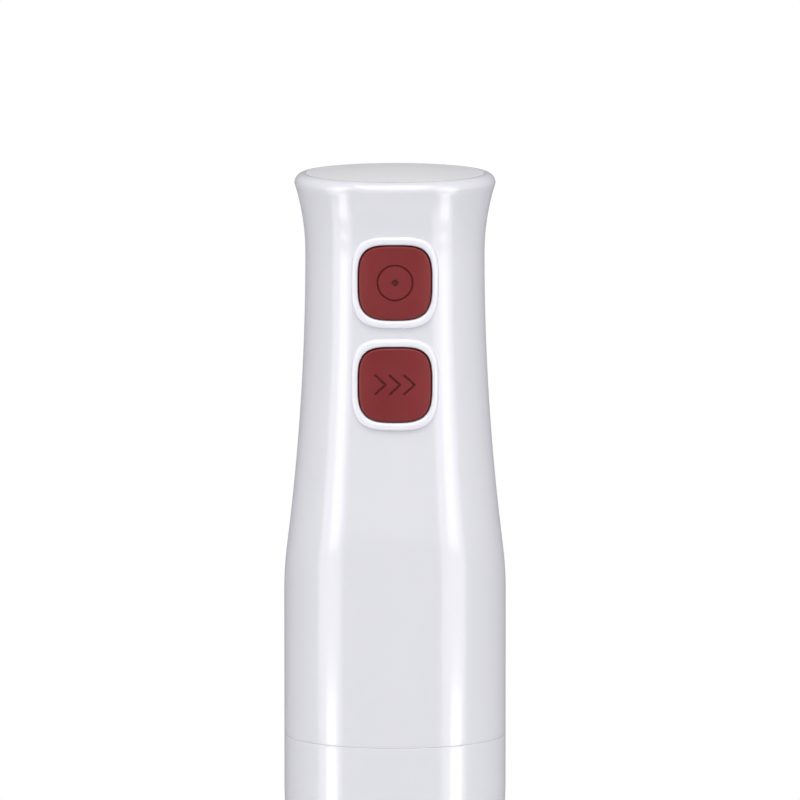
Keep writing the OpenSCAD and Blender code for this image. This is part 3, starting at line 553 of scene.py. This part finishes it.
def make_casings(white):
    front = add_object("front_casing", casing_half("front_casing", True), white, "motor_unit",
                       replaces=("front_shell",))
    boolean(front, [window_cutter(centre_of(n).z) for n in ("speed_bezel", "turbo_bezel")])
    finish_mesh(front, 32)
    rear = add_object("rear_casing", casing_half("rear_casing", False), white, "motor_unit",
                      replaces=("rear_shell",))
    inlet_z = centre_of("cord_grommet").z
    cutters = [rod_cutter((0, 10 * MM, inlet_z), (0, 40 * MM, inlet_z), 5.2 * MM)]
    for i in range(5):
        z = TOP_Z - 96 * MM + i * 4 * MM
        inlet = slot_outline(8 * MM, z, z + 1.8 * MM, 0.8 * MM)
        cutters.append(prism_cutter(inlet, TO_BACK, 15 * MM, 40 * MM))
    for x, z, y in screw_heads():
        cutters.append(rod_cutter((x, y, z), (x, 40 * MM, z), 2.8 * MM))
    boolean(rear, cutters)
    finish_mesh(rear, 32)


def screw_heads():
    """(x, z, y of the recess floor) of each housing screw."""
    return [(-19.5 * MM, TOP_Z - 82 * MM, 14 * MM), (19.5 * MM, TOP_Z - 82 * MM, 14 * MM),
            (0.0, TOP_Z - 7.2 * MM, 18 * MM)]


def make_top_cap(grey):
    crown = CAP_HIGH.z - TOP_Z
    outline = [(0.0, CAP_LOW.z), (CAP_R - 0.3 * MM, CAP_LOW.z), (CAP_R, CAP_LOW.z + 0.3 * MM)]
    edge = 0.2 * MM
    outline += arc(CAP_R - edge, TOP_Z - edge, edge, 0, 80, 6)
    count = 24
    inner = CAP_R - edge
    for i in range(1, count):
        share = 1 - i / count
        outline.append((inner * share, TOP_Z + crown * (1 - share ** 2)))
    outline += [(0.0, TOP_Z + crown)]
    data = revolved("top_disc", outline, 160, Matrix.Translation((0, GRIP_Y, 0)))
    add_object("top_disc", data, grey, "motor_unit", replaces=("top_cap",))


# ---- Buttons ----

def make_bezel(name, node, white):
    z = centre_of(node).z
    count = 192
    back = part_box(node)[1].y
    inner = (BUTTON_W / 2 + BUTTON_GAP, BUTTON_H / 2 + BUTTON_GAP)
    sleeve = (inner[0] + SLEEVE_T, inner[1] + SLEEVE_T)
    outer_w, outer_h = inner[0] + BEZEL_W, inner[1] + BEZEL_H
    section = []
    steps = 14
    for i in range(steps + 1):
        t = i / steps
        lift = BEZEL_PROUD * (1 - abs(2 * t - 1) ** 3.2) ** (1 / 2.2)
        section.append((1 - t, max(lift, 0.0)))
    rings = []
    rings.append([("back", x, h) for x, h in squircle(*sleeve, count)])
    rings.append([(-0.4 * MM, x, h) for x, h in squircle(*sleeve, count)])
    for share, lift in section:
        half_w = inner[0] + (outer_w - inner[0]) * share
        half_h = inner[1] + (outer_h - inner[1]) * share
        ring = squircle(half_w, half_h, count)
        floor = -0.15 * MM if share == 1 else 0.0
        rings.append([(lift + floor, x, h) for x, h in ring])
    rings.append([("back", x, h) for x, h in squircle(*inner, count)])
    points = []
    for ring in rings:
        for height, x, h in ring:
            points.append((x, back, z + h) if height == "back" else face_point(x, z + h, height))
    data = mesh_from(name, points, grid_faces(len(rings), count, wrap_rows=True, wrap_columns=True))
    add_object(name, data, white, "motor_unit", 40, (node,))


def line_distance(x, z, a, b):
    """Distance from (x, z) to the segment from a to b."""
    ax, az, bx, bz = *a, *b
    dx, dz = bx - ax, bz - az
    t = max(0.0, min(1.0, ((x - ax) * dx + (z - az) * dz) / (dx * dx + dz * dz)))
    return math.hypot(x - ax - t * dx, z - az - t * dz)


MARK_DEPTH = 0.35 * MM
MARK_LINE = 0.36 * MM
MARK_WALL = 0.10 * MM


def ring_and_dot(x, z):
    """Distance to the on mark: a ring with a dot in its middle."""
    r = math.hypot(x, z)
    return min(abs(r - 4.85 * MM), max(0.0, r - 0.7 * MM))


def chevrons(x, z):
    """Distance to the full-speed mark: three chevrons in a row."""
    best = 1.0
    for shift in (-5.4 * MM, -1.4 * MM, 2.6 * MM):
        tip = (shift + 2.8 * MM, 0.0)
        for side in (-1, 1):
            best = min(best, line_distance(x, z, (shift, side * 2.6 * MM), tip))
    return max(0.0, best - 0.08 * MM)


def make_button(name, node, body, mark, red, recess):
    """A pillow-edged cap on a fine grid, with its mark pressed in; the faces inside the mark take the second,
    darker red as painted shade in the pressed-in lines.
    """
    low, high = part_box(node)
    z = (low.z + high.z) / 2
    half_w, half_h = BUTTON_W / 2, BUTTON_H / 2
    edge = 0.5 * MM
    spokes, rings = 288, 96
    rim = squircle(half_w, half_h, spokes)
    points, faces = [face_point(0, z, BUTTON_PROUD)], []
    for i in range(1, rings + 1):
        share = i / rings
        for x, h in rim:
            px, ph = x * share, h * share
            from_edge = (1 - share) * math.hypot(x, h)
            drop = edge - math.sqrt(edge ** 2 - (edge - from_edge) ** 2) if from_edge < edge else 0.0
            crown = 0.25 * MM * share ** 2
            beside = max(0.0, mark(px, ph) - MARK_LINE / 2)
            depth = MARK_DEPTH * max(0.0, 1 - beside / MARK_WALL)
            points.append(face_point(px, z + ph, BUTTON_PROUD - drop - crown - depth))
    faces += [(0, 1 + j, 1 + (j + 1) % spokes) for j in range(spokes)]
    faces += grid_faces(rings, spokes, wrap_columns=True, start=1)
    last = 1 + (rings - 1) * spokes
    flange_y = high.y - BUTTON_FLANGE_T
    flange = squircle((high.x - low.x) / 2, (high.z - low.z) / 2, spokes)
    for ring, y in ((rim, flange_y), (flange, flange_y), (flange, high.y)):
        points += [(x, y, z + h) for x, h in ring]
    faces += grid_faces(4, spokes, wrap_columns=True, start=last)
    faces.append(tuple(range(last + 3 * spokes, last + 4 * spokes)))
    data = mesh_from(name, points, faces)
    button = add_object(name, data, red, body, 40, (node,))
    button.data.materials.append(recess)
    # Painted shade: faces inside the pressed-in mark get the darker red, which stands in for the shade in its
    # grooves.
    for polygon in button.data.polygons:
        centre = polygon.center
        if len(polygon.vertices) < 5 and mark(centre.x, centre.z - z) < MARK_LINE / 2 and centre.y < flange_y:
            polygon.material_index = 1


# ---- Nose housing and release buttons ----

FOOT_Z = NOSE_LOW_Z
NOSE_HIGH_Z = SHELL_LOW_Z
NOSE_R = 23 * MM
NOSE_ARC_H = 36 * MM
NOSE_ARC_R = (NOSE_ARC_H ** 2 + (BODY_R - NOSE_R) ** 2) / (2 * (BODY_R - NOSE_R))
SOCKET_R = 14.75 * MM
RELEASE_R = 6 * MM
RELEASE_PROUD = 1.2 * MM


def nose_radius(z):
    below = FOOT_Z + NOSE_ARC_H - z
    return BODY_R if below < 0 else BODY_R - NOSE_ARC_R + math.sqrt(NOSE_ARC_R ** 2 - below ** 2)


def evenly(low, high, count):
    return [low + (high - low) * i / count for i in range(count + 1)]


def make_nose(white):
    release_z = centre_of("left_release_cap").z
    tongue_out, tongue_in, tongue_h = BODY_R - 2.3 * MM, BODY_R - 3.6 * MM, 4 * MM
    floor_z = FOOT_Z + 3 * MM
    outline = [(SOCKET_R, FOOT_Z, 0.6 * MM), (NOSE_R, FOOT_Z, 1.0 * MM)]
    outline += [(nose_radius(z), z) for z in evenly(FOOT_Z + 1.2 * MM, FOOT_Z + NOSE_ARC_H, 40)]
    outline += [(BODY_R, z) for z in evenly(FOOT_Z + NOSE_ARC_H + 2 * MM, NOSE_HIGH_Z - 1 * MM, 4)]
    outline += [(BODY_R, NOSE_HIGH_Z, SEAM_EDGE), (tongue_out, NOSE_HIGH_Z, 0),
                (tongue_out, NOSE_HIGH_Z + tongue_h, 0.4 * MM),
                (tongue_in, NOSE_HIGH_Z + tongue_h, 0.4 * MM),
                (tongue_in, NOSE_HIGH_Z - tongue_h, 0)]
    outline += [(nose_radius(z) - WALL, z) for z in evenly(NOSE_HIGH_Z - 5 * MM, floor_z, 24)]
    outline += [(SOCKET_R, floor_z, 0.2 * MM)]
    data = revolved("nose_cover", rounded(outline, 0.3 * MM), 160)
    nose = add_object("nose_cover", data, white, "motor_unit", replaces=("nose_housing",))
    hole_r = RELEASE_R + 0.3 * MM
    cutters = [rod_cutter((side * 16 * MM, 0, release_z), (side * 40 * MM, 0, release_z), hole_r)
               for side in (-1, 1)]
    for i in range(7):
        outlet = slot_outline(0.9 * MM, NOSE_HIGH_Z - 13 * MM, NOSE_HIGH_Z - 4 * MM, 0.8 * MM)
        cutters.append(prism_cutter(outlet, TO_BACK + math.radians(12 * (i - 3)), 20 * MM, 40 * MM))
    boolean(nose, cutters)
    finish_mesh(nose, 32)


def make_release(name, node, body, side, pocket_dz, red):
    """A round push cap that follows the nose, with three finger grooves."""
    low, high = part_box(node)
    z0 = (low.z + high.z) / 2
    back_x, flange_x, flange_t, flange_r = 21.0 * MM, 21.6 * MM, 1.4 * MM, 7.5 * MM
    flange_end, flange_edge = flange_x + flange_t, 0.2 * MM
    edge, pocket_r = 0.7 * MM, 2.1 * MM
    groove_half_w, groove_end, groove_w = 3.6 * MM, 0.5 * MM, 0.35 * MM
    groove_d, groove_pitch = 0.3 * MM, 2 * MM
    spokes, rings = 144, 60

    def ring_at(radius, x):
        turns = [2 * math.pi * j / spokes for j in range(spokes)]
        return [(side * x, radius * math.cos(a), z0 + radius * math.sin(a)) for a in turns]

    def surface(radius, j):
        a = 2 * math.pi * j / spokes
        y, h = radius * math.cos(a), radius * math.sin(a)
        inward = RELEASE_R - radius
        drop = edge - math.sqrt(edge ** 2 - (edge - inward) ** 2) if inward < edge else 0.0
        groove = 0.0
        if abs(y) < groove_half_w:
            nearest = min(abs(h - k * groove_pitch) for k in (-1, 0, 1))
            fade = min(1.0, (groove_half_w - abs(y)) / groove_end)
            groove = groove_d * math.exp(-(nearest / groove_w) ** 2) * fade
        reach = nose_radius(z0 + h) + RELEASE_PROUD
        return (side * (math.sqrt(reach ** 2 - y * y) - drop - groove), y, z0 + h)

    points, faces = [surface(0, 0)], []
    for i in range(1, rings + 1):
        points += [surface(RELEASE_R * i / rings, j) for j in range(spokes)]
    faces += [(0, 1 + j, 1 + (j + 1) % spokes) for j in range(spokes)]
    faces += grid_faces(rings, spokes, wrap_columns=True, start=1)
    last = 1 + (rings - 1) * spokes
    for radius, x in ((RELEASE_R, flange_end), (flange_r - flange_edge, flange_end),
                      (flange_r, flange_end - flange_edge), (flange_r, flange_x), (RELEASE_R, flange_x),
                      (RELEASE_R, back_x)):
        points += ring_at(radius, x)
    faces += grid_faces(7, spokes, wrap_columns=True, start=last)
    faces.append(tuple(range(last + 6 * spokes, last + 7 * spokes)))
    cap = add_object(name, mesh_from(name, points, faces), red, body, 40, (node,))
    pocket_z = z0 + pocket_dz
    boolean(cap, [rod_cutter((side * 20 * MM, 0, pocket_z), (side * 26 * MM, 0, pocket_z), pocket_r)])
    finish_mesh(cap, 40)


# ---- Detachable foot ----

TUBE_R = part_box("foot_tube")[1].x
TUBE_T = 0.8 * MM
BELL_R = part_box("bell_guard")[1].x
BELL_T = 1.2 * MM
BELL_H = 42 * MM
BELL_SKIRT_H = 6 * MM


def make_foot_neck(white):
    low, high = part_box("foot_collar")
    low_r, shoulder_z = TUBE_R + 1.7 * MM, FOOT_Z - 0.3 * MM
    band = 6 * MM
    spigot_r, groove_r, bore_r = 14.5 * MM, 12.4 * MM, 10 * MM
    groove_low_z, groove_high_z = 203.5 * MM, 208.4 * MM
    seal_r, shaft_hole_r = 5.5 * MM, 4.5 * MM
    bore_floor_z, seal_floor_z, tube_seat_z = 195 * MM, 182 * MM, 170 * MM
    outline = [(TUBE_R, low.z, 0.3 * MM), (low_r, low.z, 0.5 * MM)]
    for i in range(33):
        t = i / 32
        outline.append((low_r + (NOSE_R - low_r) * (1 - math.cos(math.pi / 2 * t)),
                        low.z + band + (shoulder_z + 0.3 * MM - low.z - 2 * band) * t))
    outline += [(NOSE_R, shoulder_z, 0.8 * MM), (spigot_r, shoulder_z, 0.3 * MM),
                (spigot_r, groove_low_z, 0.2 * MM), (groove_r, groove_low_z, 0.2 * MM),
                (groove_r, groove_high_z, 0.2 * MM), (spigot_r, groove_high_z, 0.2 * MM),
                (spigot_r, high.z, 0.9 * MM), (bore_r, high.z, 0.4 * MM), (bore_r, bore_floor_z, 0.3 * MM),
                (seal_r, bore_floor_z, 0.3 * MM), (seal_r, seal_floor_z, 0), (shaft_hole_r, seal_floor_z, 0),
                (shaft_hole_r, tube_seat_z, 0), (TUBE_R, tube_seat_z, 0)]
    data = revolved("foot_neck", rounded(outline, 0.3 * MM), 160)
    add_object("foot_neck", data, white, "foot", replaces=("foot_collar",))


def make_foot_pipe(steel):
    low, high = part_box("foot_tube")
    outline = [(TUBE_R - TUBE_T, low.z), (TUBE_R, low.z)]
    outline += [(TUBE_R, z) for z in evenly(low.z + 4 * MM, high.z - 4 * MM, 30)]
    outline += [(TUBE_R, high.z), (TUBE_R - TUBE_T, high.z)]
    data = revolved("foot_pipe", rounded(outline, 0.3 * MM), 160)
    add_object("foot_pipe", data, steel, "foot", replaces=("foot_tube",))


def bell_section():
    """The bell's sheet: rounded lip, skirt, quarter-ellipse dome and the sleeve on the tube."""
    lip = BELL_T / 2
    outline = arc(BELL_R - lip, lip, lip, 180, 360, 12)
    outer_r = TUBE_R + BELL_T
    for i in range(41):
        a = math.pi / 2 * i / 40
        z = BELL_SKIRT_H + (BELL_H - BELL_SKIRT_H) * math.sin(a)
        outline.append((outer_r + (BELL_R - outer_r) * math.cos(a), z))
    sleeve_z = BELL_H + 9 * MM
    outline[-1] = (outer_r, BELL_H, 1.5 * MM)
    outline += [(outer_r, sleeve_z, 0.4 * MM), (TUBE_R, sleeve_z, 0.2 * MM)]
    inner_h = BELL_H - BELL_T - BELL_SKIRT_H
    for i in range(40):
        a = math.pi / 2 * (1 - i / 40)
        r = TUBE_R + (BELL_R - BELL_T - TUBE_R) * math.cos(a)
        outline.append((r, BELL_SKIRT_H + inner_h * math.sin(a)))
    outline.append((BELL_R - BELL_T, BELL_SKIRT_H))
    return rounded(outline, 0.2 * MM)


def make_bell(steel):
    data = revolved("bell_cover", bell_section(), 160)
    bell = add_object("bell_cover", data, steel, "foot", replaces=("bell_guard",))
    slot_r, slot_mid, slot_low = 7 * MM, 11 * MM, 4 * MM
    arch = rounded([(-slot_r, slot_low), (slot_r, slot_low), (slot_r, slot_mid)], 1.2 * MM)[:-1]
    arch += arc(0, slot_mid, slot_r, 0, 180, 32)
    boolean(bell, [prism_cutter(arch, math.radians(45 + 90 * i), 16 * MM, 40 * MM) for i in range(4)])
    finish_mesh(bell, 32)


# ---- Blade ----

SHAFT_R = 3 * MM
BLADE_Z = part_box("blade_nut")[1].z
BLADE_T = 1.2 * MM


def wing_station(s, low_y, high_y, ground_low, ground_high, lift):
    """One section across the blade at distance s from its middle, with ground or square edges."""
    bevel, edge_t = 2.2 * MM, 0.12 * MM

    def at(y, height):
        return (s, y, BLADE_Z + lift + height)

    low_in = low_y + bevel if ground_low else low_y
    high_in = high_y - bevel if ground_high else high_y
    low_top = edge_t if ground_low else BLADE_T
    high_top = edge_t if ground_high else BLADE_T
    return [at(low_y, 0), at(high_y, 0), at(high_y, high_top), at(high_in, BLADE_T), at(low_in, BLADE_T),
            at(low_y, low_top)]


def make_blade(steel):
    """A bowed two-wing blade, one wing up and one down, each ground along its leading edge."""
    span = (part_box("blade")[1].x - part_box("blade")[0].x) / 2
    flat, half_w, tip_len, disc_r, ground_from = 12 * MM, 4 * MM, 2.5 * MM, 7 * MM, 7.5 * MM
    rise = math.tan(math.radians(18))
    stations = []
    for i in range(49):
        s = -span + 2 * span * i / 48
        beyond = max(0.0, abs(s) - flat)
        lift = math.copysign(beyond * rise, s)
        tip = max(0.0, abs(s) - (span - tip_len)) / tip_len
        narrow = half_w * (1 - math.sqrt(max(0.0, 1 - min(tip, 0.985) ** 2)))
        low_y, high_y = -half_w, half_w
        if s > 0:
            low_y += narrow * 0.3
            high_y -= narrow
        else:
            low_y += narrow
            high_y -= narrow * 0.3
        ground = abs(s) > ground_from
        stations.append(wing_station(s, low_y, high_y, ground and s < 0, ground and s > 0, lift))
    points = [p for station in stations for p in station]
    corners = len(stations[0])
    faces = grid_faces(len(stations), corners, wrap_columns=True)
    faces += [tuple(range(corners - 1, -1, -1)), tuple(range(len(points) - corners, len(points)))]
    data = mesh_from("cutting_blade", points, faces)
    blade = add_object("cutting_blade", data, steel, "blade_drive", 20, ("blade",))
    top_z = BLADE_Z + BLADE_T
    disc = rounded([(0, BLADE_Z), (disc_r, BLADE_Z), (disc_r, top_z), (0, top_z)], 0.15 * MM)
    joined = bpy.data.objects.new("tool", revolved("tool", disc, 96))
    bpy.context.collection.objects.link(joined)
    boolean(blade, [joined], "UNION")
    boolean(blade, [rod_cutter((0, 0, BLADE_Z - 1 * MM), (0, 0, BLADE_Z + 3 * MM), SHAFT_R)])
    finish_mesh(blade, 20)


def make_hub(steel):
    low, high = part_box("blade_hub")
    hub_r, groove = high.x, 0.5 * MM
    outline = [(SHAFT_R, low.z, 0), (hub_r, low.z, 0.5 * MM)]
    for z in (low.z + 6 * MM, low.z + 9 * MM, low.z + 12 * MM):
        outline += [(hub_r, z, 0.2 * MM), (hub_r - groove, z + 0.3 * MM, 0.2 * MM),
                    (hub_r - groove, z + 0.9 * MM, 0.2 * MM), (hub_r, z + 1.2 * MM, 0.2 * MM)]
    outline += [(hub_r, high.z, 0.4 * MM), (SHAFT_R, high.z, 0)]
    data = revolved("shaft_hub", rounded(outline, 0.2 * MM), 128)
    add_object("shaft_hub", data, steel, "blade_drive", replaces=("blade_hub",))


def make_nut(steel):
    """A hexagon nut whose lower corners are chamfered."""
    low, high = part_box("blade_nut")
    segments, corner_r = 120, high.x
    flat_r = corner_r * math.cos(math.pi / 6)

    def reach(j, limit):
        a = 2 * math.pi * j / segments
        off = (a + math.pi / 6) % (math.pi / 3) - math.pi / 6
        return min(flat_r / math.cos(math.pi / 6 - abs(off)), limit)

    rings = [(SHAFT_R, high.z), (corner_r * 0.985, high.z), (corner_r * 0.985, low.z + 0.6 * MM),
             (flat_r * 0.97, low.z), (SHAFT_R + 0.4 * MM, low.z), (SHAFT_R, low.z + 0.4 * MM)]
    points = []
    for limit, z in rings:
        for j in range(segments):
            a, r = 2 * math.pi * j / segments, reach(j, limit)
            points.append((r * math.cos(a), r * math.sin(a), z))
    data = mesh_from("lock_nut", points, grid_faces(len(rings), segments, wrap_rows=True, wrap_columns=True))
    add_object("lock_nut", data, steel, "blade_drive", 25, ("blade_nut",))


# ---- Cord inlet, screws and springs ----

def make_cord_collar(rubber):
    """A grommet whose flange lies on the curved back of the grip."""
    low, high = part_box("cord_grommet")
    z0 = (low.z + high.z) / 2
    flange_r = (high.z - low.z) / 2
    hole_r, sleeve_r, ease = 3.6 * MM, 5.1 * MM, 0.6 * MM
    spokes = 96

    def saddle(x, z):
        return GRIP_Y + math.sqrt((grip_radius(z) + 0.02 * MM) ** 2 - x * x)

    rings = [(hole_r, low.y)] + [(hole_r, y) for y in evenly(low.y + 1 * MM, high.y - ease, 4)]
    for a in range(15, 91, 15):
        c, s = math.cos(math.radians(a)), math.sin(math.radians(a))
        rings.append((hole_r + ease * (1 - c), high.y - ease * (1 - s)))
    for a in range(0, 91, 15):
        c, s = math.cos(math.radians(a)), math.sin(math.radians(a))
        rings.append((flange_r - ease * (1 - s), high.y - ease * (1 - c)))
    rings += [(flange_r, None), (sleeve_r, None), (sleeve_r, low.y)]
    points = []
    for r, y in rings:
        for j in range(spokes):
            a = 2 * math.pi * j / spokes
            x, z = r * math.cos(a), z0 + r * math.sin(a)
            points.append((x, saddle(x, z) if y is None else y, z))
    data = mesh_from("cord_collar", points, grid_faces(len(rings), spokes, wrap_rows=True, wrap_columns=True))
    add_object("cord_collar", data, rubber, "motor_unit", 40, ("cord_grommet",))


def make_case_screws(steel):
    """Pan-head screws with a cross recess, deep in their counterbores."""
    tip_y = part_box("housing_screws")[0].y
    shank_r, head_r = 1.4 * MM, 2.6 * MM
    whole = None
    for x, z, floor_y in screw_heads():
        head_y = floor_y + 3 * MM
        outline = [(0, tip_y), (0.5 * MM, tip_y, 0), (shank_r, tip_y + 2.2 * MM, 0), (shank_r, floor_y, 0),
                   (head_r, floor_y, 0.1 * MM), (head_r, head_y - 0.8 * MM, 0.3 * MM),
                   (1.6 * MM, head_y - 0.1 * MM, 0.6 * MM), (0, head_y)]
        place = Matrix.Translation((x, 0, z)) @ ALONG_Y
        data = revolved("case_screws", rounded(outline, 0.2 * MM), 64, place)
        screw = bpy.data.objects.new("tool", data)
        bpy.context.collection.objects.link(screw)
        finish_mesh(screw, 35)
        arms = []
        for across, up in ((1.5 * MM, 0.28 * MM), (0.28 * MM, 1.5 * MM)):
            arm = [(x - across, z - up), (x + across, z - up), (x + across, z + up), (x - across, z + up)]
            arms.append(prism_cutter([(-t, h) for t, h in arm], TO_BACK, head_y - 1.3 * MM, head_y + 1 * MM))
        boolean(screw, arms)
        if whole is None:
            whole = screw
        else:
            boolean(whole, [screw], "UNION")
    data = whole.data
    bpy.data.objects.remove(whole)
    add_object("case_screws", data, steel, "motor_unit", 35, ("housing_screws",))


def make_coil(name, node, axis, coil_r, wire_r, turns, steel):
    """A compression spring with closed ends, as long as its part's box along the axis."""
    low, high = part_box(node)
    along = Vector(axis)
    middle = (low + high) / 2
    length = abs((high - low).dot(along))
    start = middle - along * (length / 2)
    side = Vector((0, 0, 1)).cross(along).normalized()
    up = along.cross(side)
    per_turn, sides = 32, 10
    count = turns * per_turn
    weights = []
    for i in range(count):
        from_end = min(i, count - 1 - i) / per_turn
        weights.append(0.25 if from_end < 0.6 else 1.0)
    total = sum(weights)
    reach = length - 2 * wire_r
    points, height = [], wire_r
    for i in range(count + 1):
        a = 2 * math.pi * i / per_turn
        out = side * math.cos(a) + up * math.sin(a)
        for j in range(sides):
            b = 2 * math.pi * j / sides
            r = coil_r - wire_r + wire_r * math.cos(b)
            points.append(start + out * r + along * (height + wire_r * math.sin(b)))
        if i < count:
            height += reach * weights[i] / total
    faces = grid_faces(count + 1, sides, wrap_columns=True)
    faces += [tuple(range(sides - 1, -1, -1)), tuple(range(count * sides, (count + 1) * sides))]
    coil = add_object(name, mesh_from(name, points, faces), steel, "motor_unit", 50, (node,))
    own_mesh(coil)


# ---- Build ----

make_camera()
make_world()
make_lights()
make_floor()

white = glossy_white("casing_white")
cap_grey = plastic("cap_grey", (0.86, 0.86, 0.845), 0.3, grain_scale=0.0, vary=0.003, gloss_vary=0.02)
button_red = plastic("button_red", (0.180, 0.0065, 0.0065), 0.5, 1500.0, 0.05, 0.03)
# Painted shade: a darker red for the pressed-in marks on the buttons, which stands in for the shade in their
# grooves.
mark_painted_shade = plastic("mark_painted_shade", (0.085, 0.001, 0.002), 0.7, 1500.0, 0.05, 0.03)
# Painted highlight: a lighter copy of the casing white, whose extra brightness stands in for the highlights
# on the raised bezel rings.
bezel_white_painted_highlight = glossy_white("bezel_white_painted_highlight", 0.88)
rubber = plastic("soft_rubber", (0.30, 0.30, 0.31), 0.6, 1200.0, 0.15, 0.08)
stainless = metal("stainless", (0.62, 0.62, 0.63), 0.27, (1, 1, 0.03), 500.0, 0.05)
spun = metal("spun_stainless", (0.64, 0.64, 0.65), 0.22, (0.03, 0.03, 1), 600.0, 0.04)
polished = metal("blade_steel", (0.70, 0.70, 0.71), 0.16, (1, 0.05, 1), 700.0, 0.05)
ground_steel = metal("machined_steel", (0.60, 0.60, 0.61), 0.24, (0.05, 0.05, 1), 900.0, 0.06)
zinc = metal("screw_steel", (0.55, 0.55, 0.58), 0.32, (1, 1, 1), 700.0, 0.08)
spring_wire = metal("spring_steel", (0.56, 0.56, 0.57), 0.26, (1, 1, 1), 900.0, 0.05)

make_casings(white)
make_top_cap(cap_grey)
make_bezel("upper_bezel", "speed_bezel", bezel_white_painted_highlight)
make_bezel("lower_bezel", "turbo_bezel", bezel_white_painted_highlight)
make_button("on_button", "speed_button_cap", "speed_button", ring_and_dot, button_red, mark_painted_shade)
make_button("boost_button", "turbo_button_cap", "turbo_button", chevrons, button_red, mark_painted_shade)
make_nose(white)
make_release("left_release_button", "left_release_cap", "left_release", -1, -3.2 * MM, button_red)
make_release("right_release_button", "right_release_cap", "right_release", 1, 3.2 * MM, button_red)
make_foot_neck(white)
make_foot_pipe(stainless)
make_bell(spun)
make_blade(polished)
make_hub(ground_steel)
make_nut(ground_steel)
make_cord_collar(rubber)
make_case_screws(zinc)
for name, node, joint in (("speed_coil", "speed_spring", "speed_press"),
                          ("turbo_coil", "turbo_spring", "turbo_press")):
    make_coil(name, node, (0, 1, 0), 4 * MM, 0.3 * MM, 4, spring_wire)
for name, node, joint, side in (("left_latch_coil", "left_latch_spring", "left_release_press", -1),
                                ("right_latch_coil", "right_latch_spring", "right_release_press", 1)):
    make_coil(name, node, (1, 0, 0), 1.8 * MM, 0.25 * MM, 7, spring_wire)

inner_finish = {
    "ivory_plastic": plastic("ivory_plastic", (0.74, 0.70, 0.60), 0.5, 900.0, 0.08, 0.03),
    "dark_plastic": plastic("dark_plastic", (0.035, 0.035, 0.040), 0.5, 900.0, 0.10, 0.15),
    "circuit_board": plastic("circuit_board", (0.015, 0.10, 0.035), 0.35, 500.0, 0.05, 0.30),
    "capacitor_film": plastic("capacitor_film", (0.55, 0.34, 0.02), 0.38, 700.0, 0.05, 0.06),
    "soft_rubber": rubber,
    "spring_steel": spring_wire,
    "machined_steel": ground_steel,
    "laminated_steel": metal("laminated_steel", (0.30, 0.30, 0.32), 0.42, (0.01, 0.01, 1), 2500.0, 0.4),
    "enamelled_copper": metal("enamelled_copper", (0.62, 0.24, 0.09), 0.35, (1, 1, 0.05), 1500.0, 0.6),
    "copper": metal("copper", (0.80, 0.42, 0.26), 0.25, (0.05, 0.05, 1), 1200.0, 0.1),
    "frame_aluminium": metal("frame_aluminium", (0.66, 0.66, 0.67), 0.45, (1, 1, 1), 500.0, 0.2),
    "brass": metal("brass", (0.74, 0.56, 0.24), 0.30, (1, 1, 0.1), 700.0, 0.08),
    "bronze": metal("bronze", (0.52, 0.32, 0.15), 0.42, (1, 1, 1), 1800.0, 0.3),
    "carbon": plastic("carbon", (0.025, 0.025, 0.027), 0.55, 1500.0, 0.2, 0.25),
    "lead_insulation": plastic("lead_insulation", (0.35, 0.015, 0.015), 0.4, 900.0, 0.05, 0.05),
    "screw_steel": zinc,
}
for subpart in frame["record"]["subparts"]:
    obj = frame["nodes"][subpart["node"]]
    if not obj.hide_render:
        obj.data.materials.clear()
        obj.data.materials.append(inner_finish[subpart["material_slot"]])

bpy.context.scene.view_settings.view_transform = "Standard"
